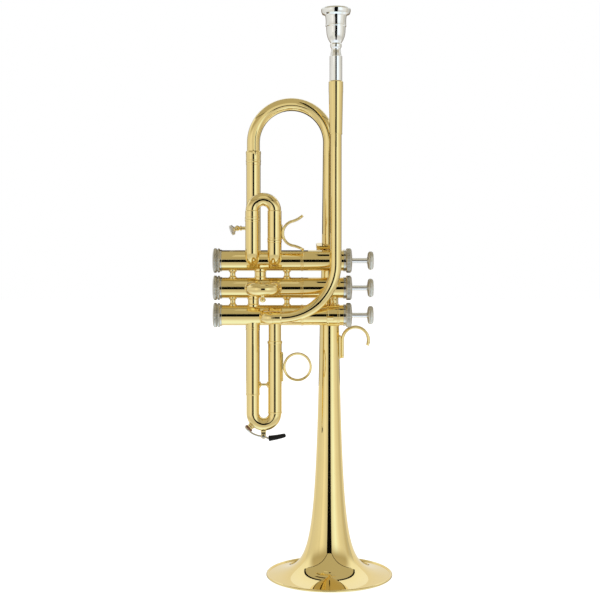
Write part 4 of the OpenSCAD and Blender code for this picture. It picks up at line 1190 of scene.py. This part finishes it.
def make_stage():
    paint, n, shader = material("pale_floor", Roughness=0.9, Emission_Strength=0.8, Emission_Color=(1, 1, 1, 1))
    plug(n, shader, Base_Color=n.ramp(n.noise(3.0, 2.0), (0.3, 0.45), (0.7, 0.4455)))
    floor = sheet("floor", [(-FLOOR, -FLOOR, 0), (FLOOR, -FLOOR, 0), (FLOOR, FLOOR, 0), (-FLOOR, FLOOR, 0)], paint)
    floor.visible_glossy = False

    # the dark camera and its stand, as the polished tubes see them, and a dark strip beside the leadpipe
    upright("camera_card", CAMERA_X, CAMERA_Y, 0.25, 0.0, 0.52)
    flat("stand_card", CAMERA_X, 0.27, -0.95, -1.16, 0.002)
    upright("dark_strip", 0.0075, -0.12, 0.017, 0.42, 0.62)
    # dim orange card behind the valves, seen only in reflections: painted shade in the gaps between the casings; and
    # a small reflector in front of the bow's near bend
    upright("painted_shade_slat", -0.07, 0.075, 0.05, 0.335, 0.45, glow=0.05, tint=(1.0, 0.6, 0.3))
    upright("reflector", -0.066, -0.14, 0.036, 0.425, 0.51, glow=0.80, tint=(1.0, 1.0, 0.95))
    # white sweep close behind the bell
    upright("sweep_back", 0.0, 0.22, 0.40, 0.0, 0.16, glow=0.86, tint=(1.0, 0.97, 0.88))
    flat("sweep_floor", 0.0, 0.40, 0.07, 0.22, 0.001, glow=0.86, tint=(1.0, 0.97, 0.88))
    # ceiling: a tan wedge narrowing towards the camera, with dark seams and a dark bar behind
    h = CEILING
    tip, wide, back_y, bar_y = -3.7 * h, 1.05 * h, 0.27 * h, 0.46 * h
    card("ceiling_wedge", [(0, tip, h), (wide, back_y, h), (wide, bar_y, h), (-wide, bar_y, h), (-wide, back_y, h)],
         glow=0.52, tint=(1.0, 0.94, 0.76))
    flat("ceiling_bar", 0, wide, bar_y, bar_y + 0.12 * h, h)
    for name, side in (("seam_left", -1), ("seam_right", 1)):
        edge = h - 0.01
        card(name, [(0, tip, edge), (side * wide, back_y, edge), (side * (wide + 0.04 * h), back_y, edge),
                    (0, tip - 0.5 * h, edge)])


def make_lights():
    """One large soft lamp overhead; the room itself gives most of the light."""
    data = bpy.data.lights.new("overhead", "AREA")
    data.shape, data.size, data.energy = "SQUARE", 3.0, 22.0
    lamp = bpy.data.objects.new("overhead", data)
    lamp.location = (0, 0, 2.6)
    lamp.visible_glossy = lamp.visible_camera = False
    bpy.context.scene.collection.objects.link(lamp)


def make_world():
    """Studio walls and ceiling by direction: how bright each way is, as the metal sees it. The camera sees white."""
    world = bpy.data.worlds.new("studio")
    bpy.context.scene.world = world
    world.use_nodes = True
    n = Nodes(world.node_tree)

    def step(operation, *values):
        return n.add("Math", dict(enumerate(values)), operation=operation).outputs[0]

    def mix(share, first, second):  # sockets 6 and 7 are the Mix node's two colours
        return n.add("Mix", {0: share, 6: first, 7: second}, data_type="RGBA").outputs[2]

    def smooth(value, start, end):
        inputs = {"Value": value, "From Min": start, "From Max": end}
        return n.add("MapRange", inputs, interpolation_type="SMOOTHSTEP").outputs[0]

    x, y, z = n.add("SeparateXYZ", {0: n.add("TexCoord").outputs["Generated"]}).outputs
    # round: 0 and 1 straight behind the object, 0.5 towards the camera, below 0.5 on the left
    around = step("MULTIPLY_ADD", step("ARCTAN2", x, step("MULTIPLY", y, -1.0)), 1 / (2 * math.pi), 0.5)
    # rise: 0 straight down, 1 straight up
    rise = step("MULTIPLY_ADD", step("ARCSINE", z), 1 / math.pi, 0.5)
    walls = n.ramp(around, *((0.5 + a / 360, c) for a, c in WALLS))
    front, back = (n.ramp(rise, *((0.5 + e / 180, c) for e, c in side)) for side in (FRONT, BACK))
    # front and back meet overhead and underneath; the walls fill a band round the horizon
    domes = mix(smooth(y, -0.25, 0.25), front, back)
    upper = smooth(z, math.sin(math.radians(10)), math.sin(math.radians(28)))
    lower = smooth(z, math.sin(math.radians(-12)), math.sin(math.radians(-26)))
    both = mix(step("MAXIMUM", upper, lower), walls, domes)
    seen = mix(n.add("LightPath").outputs["Is Camera Ray"], both, (1, 1, 1, 1))
    background = world.node_tree.nodes["Background"]
    n.tree.links.new(seen, background.inputs["Color"])
    background.inputs["Strength"].default_value = 1.0


DIM = (0.20, 0.15, 0.09)
# Brightness round the room by direction in degrees, 0 towards the camera and to the right positive
WALLS = [
    (-180, DIM), (-152, DIM), (-140, 0.66), (-104, 0.77), (-80, 0.80), (-62, 0.86), (-56, 0.82), (-48, 0.98),
    (-40, 0.98), (-30, 0.86), (-20, 0.72), (-10, 0.66), (10, (0.72, 0.76, 0.80)), (20, (0.95, 1.05, 1.15)),
    (34, (1.06, 1.26, 1.50)), (46, (1.0, 1.06, 1.15)), (60, 0.86), (84, 0.76), (98, (0.62, 0.58, 0.50)), (110, 0.60),
    (136, 0.52), (150, DIM), (180, DIM),
]
# Brightness by height above the horizon in degrees, in front of the object and behind it
FRONT = [
    (-90, (1.03, 1.26, 1.55)), (-68, (1.02, 1.22, 1.45)), (-56, (0.92, 1.02, 1.2)), (-44, 0.76), (-20, 0.64),
    (0, 0.66), (20, (0.48, 0.44, 0.35)), (45, (0.56, 0.51, 0.40)), (72, (0.60, 0.56, 0.45)), (90, (0.66, 0.62, 0.52)),
]
BACK = [
    (-90, (1.03, 1.26, 1.55)), (-50, (0.98, 1.15, 1.4)), (-30, 0.85), (-12, (0.40, 0.33, 0.24)),
    (6, (0.36, 0.30, 0.22)), (14, (0.95, 0.98, 1.0)), (42, (1.0, 1.05, 1.15)), (60, (0.98, 1.02, 1.1)),
    (66, (0.70, 0.67, 0.58)), (90, (0.66, 0.62, 0.52)),
]


def make_camera():
    data = bpy.data.cameras.new("camera")
    camera = bpy.data.objects.new("camera", data)
    bpy.context.scene.collection.objects.link(camera)
    data.lens = 71.5
    data.shift_y = -0.045
    camera.location = (CAMERA_X, CAMERA_Y, CAMERA_Z)
    camera.rotation_euler = (math.radians(90 - 1.25), 0, 0)
    data.clip_start, data.clip_end = 0.05, 50
    bpy.context.scene.camera = camera


for node, shown in frame["nodes"].items():
    for index, old in enumerate(shown.data.materials):
        shown.data.materials[index] = MATERIALS[old.name.split(".")[0]]

make_stage()
make_lights()
make_world()
make_camera()
bpy.context.scene.view_settings.view_transform = "Standard"
